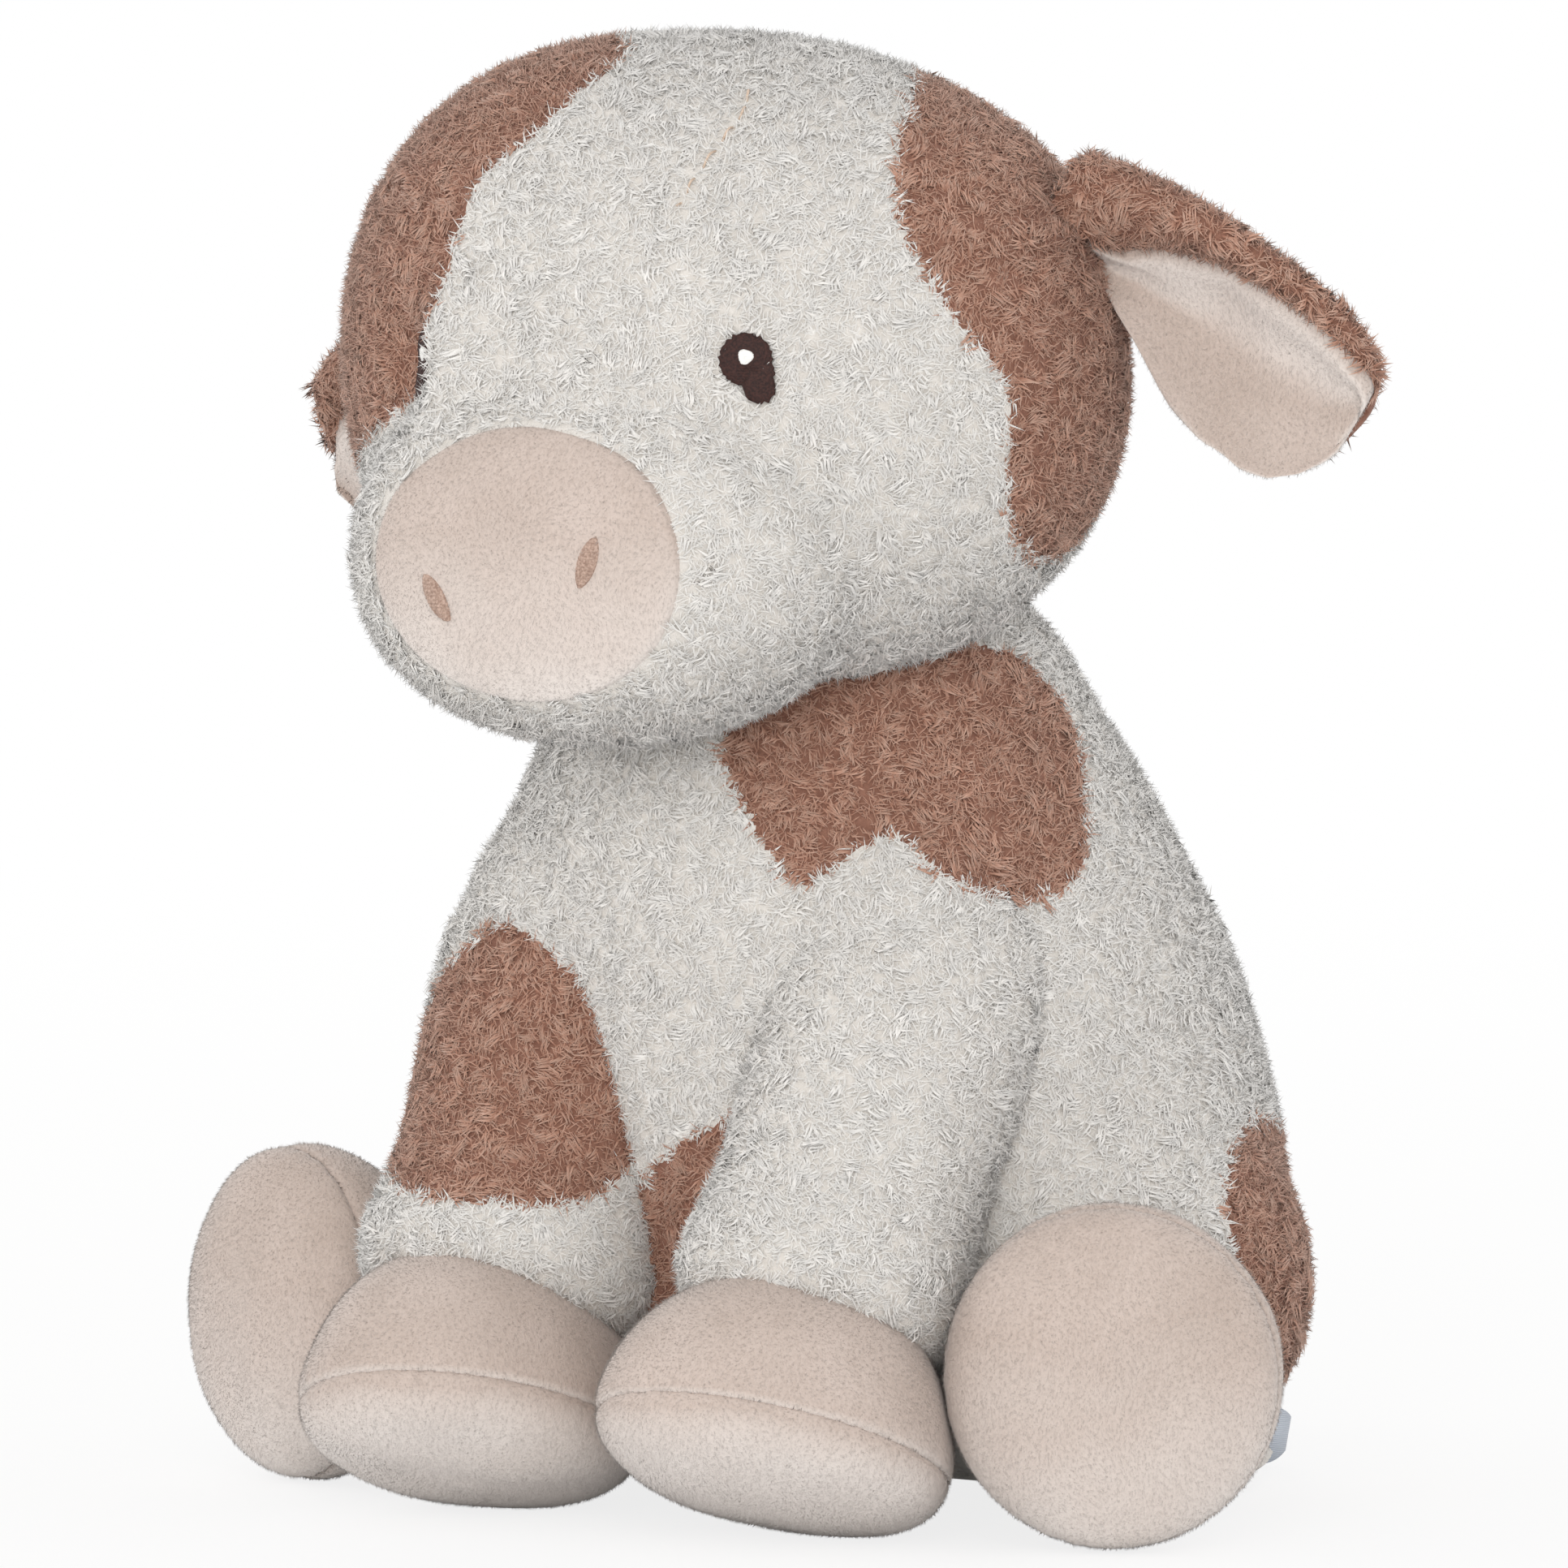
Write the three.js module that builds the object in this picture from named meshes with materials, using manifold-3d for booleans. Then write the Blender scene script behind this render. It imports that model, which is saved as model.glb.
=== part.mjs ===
import * as THREE from "three";
import { mergeVertices } from "three/addons/utils/BufferGeometryUtils.js";
import Module from "manifold-3d";

const wasm = await Module();
wasm.setup();

// A seated plush cow, sewn from curly pile fabric and short-pile velboa over loose filling.
// Lengths are in millimetres and angles in degrees. +Z is up, the cow faces -Y,
// and its own left side is +X.

// Fabrics and clearances
const gap = 0.3;
const jointGap = 0.7;
const pileFabric = 3;
const velboa = 1.8;
const restFlat = 0.5;
const farOut = 600;

// How far the sewn joints give, each way or from rest
const neckTurn = 15;
const neckNod = 8;
const earFlop = 12;
const frontLift = 20;
const hindLift = 12;
const tailSwing = 20;

// Sections round each kind of form
const bigSides = 24;
const limbSides = 16;
const smallSides = 10;

// The body stands upright and leans towards the head
const body = {
  height: 208,
  halfWidth: 91,
  halfDepth: 87,
  lean: -26,
  baseY: 33,
  fullness: 2,
  shoulderRow: 9,
  shares: [
    [0, 0, 0, 0],
    [0.003, 0.74, 0.74, 0],
    [0.035, 0.88, 0.88, 0],
    [0.09, 0.945, 0.945, 0],
    [0.2, 0.985, 0.985, 0.02],
    [0.343, 0.992, 0.992, 0.07],
    [0.51, 0.955, 0.955, 0.31],
    [0.6, 0.93, 0.93, 0.5],
    [0.68, 0.885, 0.885, 0.73],
    [0.77, 0.79, 0.79, 0.86],
    [0.86, 0.645, 0.645, 0.98],
    [0.925, 0.53, 0.53, 1],
    [0.97, 0.4, 0.4, 1],
    [1, 0, 0, 1],
  ],
};

// The head is a broad skull with a snout that hangs low in front
const head = {
  y: -29,
  z: 253,
  front: 69,
  back: 71,
  halfWidth: 92,
  halfHeight: 71,
  roll: 3.5,
  fullness: 2.25,
  shares: [
    [0, 0, 0, 0],
    [0.015, 0.25, 0.25, 0],
    [0.06, 0.48, 0.48, 0],
    [0.14, 0.7, 0.7, 0],
    [0.25, 0.87, 0.87, 0],
    [0.37, 0.97, 0.97, 0],
    [0.5, 1, 1, 0],
    [0.63, 0.965, 0.965, 0],
    [0.75, 0.86, 0.86, 0],
    [0.86, 0.68, 0.68, 0],
    [0.95, 0.42, 0.42, 0],
    [1, 0, 0, 0],
  ],
};

const snout = {
  front: 84,
  drop: -38,
  halfWidth: 58,
  halfHeight: 41,
  fullness: 2.1,
  shares: [
    [0, 0, 0, 0],
    [0.02, 0.36, 0.34, 0],
    [0.055, 0.58, 0.56, 0],
    [0.12, 0.78, 0.76, 0],
    [0.22, 0.92, 0.91, 0],
    [0.36, 1, 1, 0],
    [0.6, 1, 1, 0],
    [0.85, 0.8, 0.8, 0],
    [1, 0, 0, 0],
  ],
};

// The neck is a firm ball of filling on a stem, which the head sits on
const neck = {
  y: 8,
  z: 200,
  ballRadius: 25,
  stemRadius: 19,
  stemLength: 40,
  openingRadius: 31,
  sway: 1.5,
};

// Each front leg hangs from the shoulder down to its hoof
const frontLeg = {
  shoulder: [44, -20, 126],
  ankle: [41, -63, 47],
  rootLength: 28,
  radius: 31,
  fullness: 2,
  shares: [
    [0, 0, 0, 0],
    [0.05, 0.5, 0.5, 0],
    [0.13, 0.8, 0.8, 0],
    [0.26, 0.98, 0.98, 0],
    [0.45, 1, 1, 0],
    [0.7, 0.96, 0.96, 0],
    [0.93, 0.9, 0.9, 0],
    [0.97, 0.6, 0.6, 0],
    [1, 0, 0, 0],
  ],
};

// A hoof is a plump velboa cap with a bulging sole that tips forward
const hoof = {
  x: 40,
  y: -77,
  halfWidth: 38,
  halfLength: 42,
  soleBulge: 20,
  capHeight: 34,
  ankleShare: 0.33,
  tilt: 23,
  fullness: 2,
  shares: [
    [0, 0, 0, 0],
    [0.04, 0.45, 0.45, 0],
    [0.11, 0.71, 0.71, 0],
    [0.22, 0.9, 0.9, 0],
    [0.37, 1, 1, 0],
    [0.52, 0.97, 0.97, 0],
    [0.66, 0.88, 0.88, 0],
    [0.79, 0.73, 0.73, 0],
    [0.9, 0.52, 0.52, 0],
    [0.97, 0.28, 0.28, 0],
    [1, 0, 0, 0],
  ],
};

// Each hind leg is splayed, with a round sole that faces forward
const hindLeg = {
  hip: [60, 26, 42],
  rootLength: 24,
  radius: 31,
  splay: 26,
  fullness: 2,
  shares: frontLeg.shares,
};

const hindFoot = {
  x: 109,
  y: -43,
  radius: 38.5,
  soleBulge: 19,
  capLength: 31,
  ankleDepth: 17,
  fullness: 2,
  shares: [
    [0, 0, 0, 0],
    [0.03, 0.41, 0.41, 0],
    [0.09, 0.66, 0.66, 0],
    [0.19, 0.87, 0.87, 0],
    [0.38, 1, 1, 0],
    [0.55, 0.98, 0.98, 0],
    [0.7, 0.89, 0.89, 0],
    [0.84, 0.72, 0.72, 0],
    [0.94, 0.46, 0.46, 0],
    [1, 0, 0, 0],
  ],
};

// An ear is a cupped leaf: a pile back with a velboa lining in its hollow
const ear = {
  left: { root: [80, 10, 29], tip: [143, 36, -22], facing: [0.12, -1, -0.35] },
  right: { root: [-83, 10, 20], tip: [-130, 34, -34], facing: [-0.12, -1, -0.35] },
  halfWidth: 24,
  cupRadius: 26,
  backThickness: 5,
  liningThickness: 1.6,
  lengthSteps: 9,
  widthSteps: 8,
  widthShares: [0.55, 0.66, 0.78, 0.88, 0.96, 1, 1, 0.92, 0.73, 0.22],
};

// The tail hangs down the back and ends in a tuft
const tail = {
  root: [0, 110, 60],
  end: [0, 131, 24],
  radius: 5.5,
  tuftEnd: [0, 137, 1],
  tuftRadius: 9,
  fullness: 2,
  shares: [
    [0, 0, 0, 0],
    [0.04, 0.8, 0.8, 0],
    [0.2, 1, 1, 0],
    [0.6, 0.95, 0.95, 0],
    [0.94, 0.9, 0.9, 0],
    [1, 0, 0, 0],
  ],
  tuftShares: [
    [0, 0, 0, 0],
    [0.08, 0.5, 0.5, 0],
    [0.3, 0.9, 0.9, 0],
    [0.55, 1, 1, 0],
    [0.8, 0.75, 0.75, 0],
    [0.94, 0.4, 0.4, 0],
    [1, 0, 0, 0],
  ],
};

// Muzzle panel and embroidery on the head
const muzzle = { halfWidth: 42, halfHeight: 31, drop: -1 };
const embroidery = { depth: 1, highlightDepth: 0.6 };

// A bag of pellets keeps the seat down
const pelletBag = { halfWidth: 56, halfDepth: 50, height: 30, bottom: 8 };

// A blank satin ribbon is folded into the seam behind the left hip
const careLabel = {
  angle: 38,
  seamShare: 0.93,
  width: 14,
  reach: 12,
  thickness: 0.5,
  loop: 1.6,
  bottom: 1,
};

// Outlines of the sewn-in patches, as directions in degrees seen from the middle of their
// form: round from the front towards the left side, then up
const outlines = {
  head_patch_right: [
    [-22, 68], [-16, 48], [-25, 34], [-26, 20], [-28, 6], [-36, -4],
    [-64, -14], [-84, -14], [-106, -6], [-126, 12], [-130, 40], [-92, 68],
  ],
  head_patch_left: [
    [92, 54], [70, 42], [62, 27], [64, 17], [68, 9], [75, 0], [77, -15],
    [84, -24], [98, -27], [114, -14], [128, 8], [128, 36], [112, 56],
  ],
  shoulder_patch: [
    [9, 46], [16, 34], [25, 26], [33, 30], [40, 32], [47, 26], [56, 23],
    [67, 24], [74, 29], [79, 38], [84, 50], [72, 58], [40, 56], [20, 54],
  ],
  hip_patch_left: [
    [91, -24], [96, -16], [109, -13], [126, -14], [138, -24], [134, -38], [112, -44], [96, -38],
  ],
  belly_patch: [
    [-14, -34], [-5, -26], [8, -21], [28, -22], [44, -28], [52, -36], [46, -43], [20, -44], [-6, -42],
  ],
  knee_patch: [
    [-15, 64], [24, 54], [46, 34], [58, 4], [60, -18], [48, -27],
    [18, -25], [-20, -24], [-56, -22], [-72, -4], [-66, 24], [-50, 50],
  ],
};

// Where the embroidery lies on the head, in the same directions, and how large it is
const face = {
  left: {
    eye: { round: 37, rise: 3, halfRound: 5, halfRise: 6.4, tip: -8 },
    eye_highlight: { round: 36.5, rise: 5.4, halfRound: 1.2, halfRise: 1.5, tip: 0 },
    nostril: { round: 12.5, rise: -23.5, halfRound: 1.4, halfRise: 3.4, tip: -24 },
  },
  right: {
    eye: { round: -36, rise: 1.5, halfRound: 5, halfRise: 6.4, tip: 8 },
    eye_highlight: { round: -36.5, rise: 3.9, halfRound: 1.2, halfRise: 1.5, tip: 0 },
    nostril: { round: -14.5, rise: -28.5, halfRound: 1.4, halfRise: 3.4, tip: 38 },
  },
};

// A patch is cut by a wedge that runs from inside its form to well outside it
const wedgeShares = { near: 0.1, far: 3 };

// Colours
const white = new THREE.Color(0.78, 0.77, 0.73);
const brown = new THREE.Color(0.4, 0.23, 0.17);
const beige = new THREE.Color(0.72, 0.56, 0.45);
const darkBrown = new THREE.Color(0.04, 0.015, 0.012);
const thread = new THREE.Color(0.45, 0.28, 0.22);
const satin = new THREE.Color(0.55, 0.58, 0.64);
const fibre = new THREE.Color(0.85, 0.85, 0.86);

const cow = new THREE.Group();
const up = new THREE.Vector3(0, 0, 1);
const leftward = new THREE.Vector3(1, 0, 0);
const backward = new THREE.Vector3(0, 1, 0);

// Solids

function solid(geometry) {
  const bare = new THREE.BufferGeometry();
  bare.setAttribute("position", geometry.getAttribute("position"));
  bare.setIndex(geometry.getIndex());
  const merged = mergeVertices(bare);
  const mesh = new wasm.Mesh({
    numProp: 3,
    vertProperties: merged.getAttribute("position").array,
    triVerts: new Uint32Array(merged.getIndex().array),
  });
  return new wasm.Manifold(mesh);
}

function joined(solids) {
  return solids.reduce((all, next) => all.add(next));
}

function cut(base, tools) {
  return tools.reduce((left, tool) => left.subtract(tool), base);
}

// A cut can leave slivers beside the piece, and only the piece is kept
function largest(solids) {
  const bodies = solids.decompose();
  return bodies.reduce((best, next) => (next.volume() > best.volume() ? next : best));
}

function add(name, piece, color, roughness = 0.9) {
  const mesh = largest(piece).getMesh();
  const geometry = new THREE.BufferGeometry();
  geometry.setAttribute("position", new THREE.BufferAttribute(mesh.vertProperties, mesh.numProp));
  geometry.setIndex(new THREE.BufferAttribute(mesh.triVerts, 1));
  geometry.computeVertexNormals();
  const material = new THREE.MeshStandardMaterial({ color, roughness, metalness: 0 });
  const node = new THREE.Mesh(geometry, material);
  node.name = name;
  cow.add(node);
}

function turned(geometry, pivot, axis, degrees) {
  const turn = new THREE.Matrix4().makeRotationAxis(axis, THREE.MathUtils.degToRad(degrees));
  const there = new THREE.Matrix4().makeTranslation(pivot);
  const back = new THREE.Matrix4().makeTranslation(pivot.clone().negate());
  return geometry.clone().applyMatrix4(there.multiply(turn).multiply(back));
}

function indexed(points, triangles) {
  const geometry = new THREE.BufferGeometry();
  const places = new Float32Array(points.flatMap((point) => point.toArray()));
  geometry.setAttribute("position", new THREE.BufferAttribute(places, 3));
  geometry.setIndex(triangles);
  return geometry;
}

// Joins rings of equally many points, between a point at each end, into a closed surface
function skinned(first, rings, last) {
  const sides = rings[0].length;
  const points = [first, ...rings.flat(), last];
  const triangles = [];
  const at = (ring, side) => 1 + ring * sides + (side % sides);
  for (let side = 0; side < sides; side++) {
    triangles.push(0, at(0, side + 1), at(0, side));
    for (let ring = 0; ring + 1 < rings.length; ring++) {
      triangles.push(at(ring, side), at(ring, side + 1), at(ring + 1, side + 1));
      triangles.push(at(ring, side), at(ring + 1, side + 1), at(ring + 1, side));
    }
    triangles.push(points.length - 1, at(rings.length - 1, side), at(rings.length - 1, side + 1));
  }
  return indexed(points, triangles);
}

// A fullness over 2 swells an oval towards its corners
const full = (share, form) => Math.sign(share) * Math.abs(share) ** (2 / form.fullness);

// A form is a row of oval sections on a straight spine. Each row of its shares says how far
// along the spine the section lies, its half width, its half depth and its shift in depth.
function formed(form, inset = 0) {
  const spine = form.end.clone().sub(form.start);
  const along = spine.clone().normalize();
  const depth = new THREE.Vector3().crossVectors(along, form.side).normalize();
  const side = new THREE.Vector3().crossVectors(depth, along);
  const start = form.start.clone().addScaledVector(along, inset);
  const length = spine.length() - 2 * inset;
  const middles = form.shares.map(([alongShare, , , shiftShare]) =>
    start.clone().addScaledVector(along, alongShare * length).addScaledVector(depth, shiftShare * form.shift),
  );
  const rings = form.shares.slice(1, -1).map(([, widthShare, depthShare], row) =>
    Array.from({ length: form.sides }, (_, step) => {
      const angle = (2 * Math.PI * step) / form.sides;
      return middles[row + 1]
        .clone()
        .addScaledVector(side, full(Math.cos(angle), form) * widthShare * (form.halfWidth - inset))
        .addScaledVector(depth, full(Math.sin(angle), form) * depthShare * (form.halfDepth - inset));
    }),
  );
  return skinned(middles[0], rings, middles.at(-1));
}

// The same form with every second section and side, which lies inside it: linings and
// fillings that don't show are made of it
function sparse(form) {
  const shares = form.shares.filter((_, row) => row % 2 === 0 || row === form.shares.length - 1);
  return { ...form, shares, sides: form.sides / 2 };
}

function inside(form, inset) {
  return formed(sparse(form), inset);
}

function shell(form, thickness) {
  return solid(formed(form)).subtract(solid(inside(form, thickness)));
}

// Everything under the surface that the cow sits on
function ground() {
  const box = new THREE.BoxGeometry(farOut, farOut, farOut);
  return solid(box.translate(0, 0, -farOut / 2));
}

// The half space on the near side of a plane, as a large block
function beyond(point, normal) {
  const block = new THREE.BoxGeometry(farOut, farOut, farOut).translate(0, 0, farOut / 2);
  const turn = new THREE.Quaternion().setFromUnitVectors(up, normal);
  return solid(block.applyQuaternion(turn).translate(point.x, point.y, point.z));
}

// Rounds off an outline of directions, and draws it in by an angle
function rounded(outline, drawnIn) {
  const corners = outline.map(([round, rise]) => new THREE.Vector3(round, rise, 0));
  const path = new THREE.CatmullRomCurve3(corners, true).getPoints(2 * corners.length).slice(0, -1);
  const inward = THREE.ShapeUtils.isClockWise(path) ? -1 : 1;
  return path.map((spot, step) => {
    const before = path.at(step - 1);
    const after = path[(step + 1) % path.length];
    const aside = new THREE.Vector2(before.y - after.y, after.x - before.x);
    return aside.setLength(inward * drawnIn).add(spot);
  });
}

// The solid angle that an outline of directions spans, for a form that reaches so far from
// its middle
function wedge(middle, outline, reach, clearance = 0) {
  const [near, far] = [wedgeShares.near * reach, wedgeShares.far * reach];
  const spots = rounded(outline, THREE.MathUtils.radToDeg(clearance / reach));
  const ccw = THREE.ShapeUtils.isClockWise(spots) ? spots.reverse() : spots;
  const heading = (spot) =>
    new THREE.Vector3()
      .copy(backward)
      .negate()
      .applyAxisAngle(leftward, THREE.MathUtils.degToRad(-spot.y))
      .applyAxisAngle(up, THREE.MathUtils.degToRad(spot.x));
  const inner = ccw.map((spot) => middle.clone().addScaledVector(heading(spot), near));
  const outer = ccw.map((spot) => middle.clone().addScaledVector(heading(spot), far));
  const count = ccw.length;
  const triangles = [];
  for (const [a, b, c] of THREE.ShapeUtils.triangulateShape(ccw, [])) {
    triangles.push(count + a, count + b, count + c);
    triangles.push(a, c, b);
  }
  for (let step = 0; step < count; step++) {
    const next = (step + 1) % count;
    triangles.push(step, next, count + next);
    triangles.push(step, count + next, count + step);
  }
  return indexed([...inner, ...outer], triangles);
}

// Placed forms

const mirrored = (place, sign) => new THREE.Vector3(sign * place[0], place[1], place[2]);

const bodyForm = {
  start: new THREE.Vector3(0, body.baseY, -restFlat),
  end: new THREE.Vector3(0, body.baseY, body.height - restFlat),
  side: leftward,
  halfWidth: body.halfWidth,
  halfDepth: body.halfDepth,
  shift: body.lean,
  fullness: body.fullness,
  sides: bigSides,
  shares: body.shares,
};

const skullForm = {
  start: new THREE.Vector3(0, -head.front, 0),
  end: new THREE.Vector3(0, head.back, 0),
  side: leftward.clone().negate(),
  halfWidth: head.halfWidth,
  halfDepth: head.halfHeight,
  shift: 0,
  fullness: head.fullness,
  sides: bigSides,
  shares: head.shares,
};

const snoutForm = {
  ...skullForm,
  start: new THREE.Vector3(0, -snout.front, snout.drop),
  end: new THREE.Vector3(0, 0, snout.drop),
  halfWidth: snout.halfWidth,
  halfDepth: snout.halfHeight,
  fullness: snout.fullness,
  shares: snout.shares,
};

const headMiddle = new THREE.Vector3(0, head.y, head.z);
const neckPivot = new THREE.Vector3(0, neck.y, neck.z);
const headPlace = new THREE.Matrix4()
  .makeTranslation(headMiddle)
  .multiply(new THREE.Matrix4().makeRotationY(THREE.MathUtils.degToRad(-head.roll)));
const placedOnHead = (geometry) => geometry.clone().applyMatrix4(headPlace);
const headForms = [skullForm, snoutForm];
const headSolid = (inset) => joined(headForms.map((form) => solid(placedOnHead(formed(form, inset)))));
const headInside = (inset) => joined(headForms.map((form) => solid(placedOnHead(inside(form, inset)))));

function frontLegForm(sign) {
  const shoulder = mirrored(frontLeg.shoulder, sign);
  const ankle = mirrored(frontLeg.ankle, sign);
  const down = ankle.clone().sub(shoulder).normalize();
  return {
    start: shoulder.clone().addScaledVector(down, -frontLeg.rootLength),
    end: ankle.clone().addScaledVector(down, hoof.ankleShare * hoof.capHeight),
    side: leftward,
    halfWidth: frontLeg.radius,
    halfDepth: frontLeg.radius,
    shift: 0,
    fullness: frontLeg.fullness,
    sides: limbSides,
    shares: frontLeg.shares,
  };
}

// The hoof is lowered until its sole is pressed flat on the ground
function hoofForm(sign) {
  const rise = backward.clone().applyAxisAngle(leftward, THREE.MathUtils.degToRad(90 - hoof.tilt));
  const seam = new THREE.Vector3(sign * hoof.x, hoof.y, 0);
  const form = {
    start: seam.clone().addScaledVector(rise, -hoof.soleBulge),
    end: seam.clone().addScaledVector(rise, hoof.capHeight),
    side: leftward,
    halfWidth: hoof.halfWidth,
    halfDepth: hoof.halfLength,
    shift: 0,
    fullness: hoof.fullness,
    sides: limbSides,
    shares: hoof.shares,
    seam,
    rise,
  };
  const trial = formed(form);
  trial.computeBoundingBox();
  const lift = -restFlat - trial.boundingBox.min.z;
  for (const place of [form.start, form.end, form.seam]) place.z += lift;
  return form;
}

function hindFootForm(sign) {
  const facing = backward.clone().negate().applyAxisAngle(up, THREE.MathUtils.degToRad(sign * hindLeg.splay));
  const seam = new THREE.Vector3(sign * hindFoot.x, hindFoot.y, hindFoot.radius - restFlat);
  return {
    start: seam.clone().addScaledVector(facing, hindFoot.soleBulge),
    end: seam.clone().addScaledVector(facing, -hindFoot.capLength),
    side: up,
    halfWidth: hindFoot.radius,
    halfDepth: hindFoot.radius,
    shift: 0,
    fullness: hindFoot.fullness,
    sides: limbSides,
    shares: hindFoot.shares,
    seam,
    rise: facing.clone().negate(),
  };
}

function hindLegForm(sign, foot) {
  const hip = mirrored(hindLeg.hip, sign);
  const ankle = foot.seam.clone().addScaledVector(foot.rise, hindFoot.ankleDepth);
  const down = ankle.clone().sub(hip).normalize();
  return {
    start: hip.clone().addScaledVector(down, -hindLeg.rootLength),
    end: ankle,
    side: up,
    halfWidth: hindLeg.radius,
    halfDepth: hindLeg.radius,
    shift: 0,
    fullness: hindLeg.fullness,
    sides: limbSides,
    shares: hindLeg.shares,
  };
}

// The space that a larger form takes up, seen from a piece that turns against it
function keptClear(geometry, pivot, axis, from, to, steps = 2) {
  const turns = Array.from({ length: steps + 1 }, (_, step) => from + ((to - from) * step) / steps);
  return turns.map((degrees) => solid(turned(geometry, pivot, axis, -degrees)));
}

// Pieces

// Cuts patches out of a skin and fits them back with a seam's clearance
function patched(skin, middle, reach, patches) {
  let rest = skin;
  for (const [name, outline] of Object.entries(patches)) {
    add(name, skin.intersect(solid(wedge(middle, outline, reach, gap))), brown);
    rest = rest.subtract(solid(wedge(middle, outline, reach)));
  }
  return rest;
}

function addTorso(floor) {
  const mouth = new THREE.CylinderGeometry(neck.openingRadius, neck.openingRadius, farOut, bigSides);
  mouth.rotateX(Math.PI / 2).translate(0, neck.y, neck.z + farOut / 2 - neck.ballRadius);

  const skin = cut(shell(bodyForm, pileFabric), [floor, solid(mouth)]);
  const middle = new THREE.Vector3(0, body.baseY + body.lean / 2, body.height / 2);
  const { shoulder_patch, hip_patch_left, belly_patch } = outlines;
  const rest = patched(skin, middle, body.halfWidth, { shoulder_patch, hip_patch_left, belly_patch });
  add("body_skin", rest, white);

  const bagForm = {
    ...bodyForm,
    start: new THREE.Vector3(0, body.baseY, pelletBag.bottom),
    end: new THREE.Vector3(0, body.baseY, pelletBag.bottom + pelletBag.height),
    halfWidth: pelletBag.halfWidth,
    halfDepth: pelletBag.halfDepth,
    shift: 0,
    fullness: hindFoot.fullness,
    sides: limbSides,
    shares: hindFoot.shares,
  };
  add("pellet_bag", solid(formed(bagForm)), fibre);
  const well = new THREE.CylinderGeometry(1, 1, pelletBag.height, limbSides).rotateX(Math.PI / 2);
  well.scale(pelletBag.halfWidth + gap, pelletBag.halfDepth + gap, 1).translate(0, body.baseY, 0);
  const filling = solid(inside(bodyForm, pileFabric + gap));
  const hollows = [solid(formed(bagForm, -gap)), solid(well), solid(neckColumn(jointGap))];
  add("body_filling", cut(filling, hollows), fibre);
}

// The neck's ball on its stem, or the room that they need
function neckColumn(clearance = 0) {
  const steps = smallSides / 2;
  const [ballRadius, stemRadius] = [neck.ballRadius + clearance, neck.stemRadius + clearance];
  const foot = -neck.stemLength - clearance;
  const tuck = Math.asin(stemRadius / ballRadius);
  const profile = [new THREE.Vector2(0, foot), new THREE.Vector2(stemRadius, foot)];
  for (let step = 0; step <= steps; step++) {
    const angle = (Math.PI - tuck) * (1 - step / steps);
    profile.push(new THREE.Vector2(Math.sin(angle), Math.cos(angle)).multiplyScalar(ballRadius));
  }
  profile.at(-1).x = 0;
  const column = new THREE.LatheGeometry(profile, bigSides).rotateX(Math.PI / 2);
  return column.translate(0, neck.y, neck.z);
}

function addNeck() {
  add("neck_filling", solid(neckColumn()), fibre);
}

// The room that the shoulders and the neck's ball need under the head: the shoulders are
// nearly round there, so they are turned about the neck's own axis
function shouldersRound(clearance) {
  const profile = [new THREE.Vector2(0, 0)];
  for (const [alongShare, widthShare, depthShare] of body.shares.slice(body.shoulderRow, -1)) {
    const radius = Math.max(widthShare * body.halfWidth, depthShare * body.halfDepth);
    const z = alongShare * body.height;
    if (profile.length === 1) profile[0].y = z;
    profile.push(new THREE.Vector2(radius + clearance, z));
  }
  profile.push(new THREE.Vector2(0, body.height + clearance));
  const shoulders = new THREE.LatheGeometry(profile, bigSides).rotateX(Math.PI / 2);
  return shoulders.translate(0, neck.y, 0);
}

function addHead() {
  const nodded = (geometry) =>
    [-neckNod, 0, neckNod].map((nod) => solid(turned(geometry, neckPivot, leftward, -nod)));
  const neckTop = new THREE.SphereGeometry(neck.ballRadius + jointGap, bigSides, smallSides);
  neckTop.rotateX(Math.PI / 2).translate(0, neck.y, neck.z);
  const room = [joined([...nodded(shouldersRound(jointGap + neck.sway)), solid(neckTop)])];

  const skin = cut(headSolid(0), [headInside(pileFabric), ...room]);
  const plug = new THREE.CylinderGeometry(1, 1, snout.front, bigSides);
  const panelAt = (clearance) => {
    const oval = plug.clone().scale(muzzle.halfWidth - clearance, 1, muzzle.halfHeight - clearance);
    return solid(placedOnHead(oval.translate(0, -snout.front, snout.drop + muzzle.drop)));
  };
  add("muzzle_panel", skin.intersect(panelAt(gap)), beige);
  const { head_patch_right, head_patch_left } = outlines;
  const patches = { head_patch_right, head_patch_left };
  add("head_skin", patched(skin.subtract(panelAt(0)), headMiddle, head.halfWidth, patches), white);

  const filling = headInside(pileFabric + gap);
  add("head_filling", cut(filling, room), fibre);
}

// An ear's surface point, from its root to its tip and across its width from -1 to 1
function earPlace(side, alongShare, acrossShare, offset) {
  const root = new THREE.Vector3(...ear[side].root);
  const axis = new THREE.Vector3(...ear[side].tip).sub(root);
  const facing = new THREE.Vector3(...ear[side].facing).projectOnPlane(axis.clone().normalize());
  facing.normalize();
  const across = new THREE.Vector3().crossVectors(axis.clone().normalize(), facing);
  const step = Math.min(Math.floor(alongShare * ear.lengthSteps), ear.lengthSteps);
  const angle = (acrossShare * ear.widthShares[step] * ear.halfWidth) / ear.cupRadius;
  return root
    .addScaledVector(axis, alongShare)
    .addScaledVector(across, Math.sin(angle) * ear.cupRadius)
    .addScaledVector(facing, (1 - Math.cos(angle)) * ear.cupRadius + offset);
}

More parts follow.
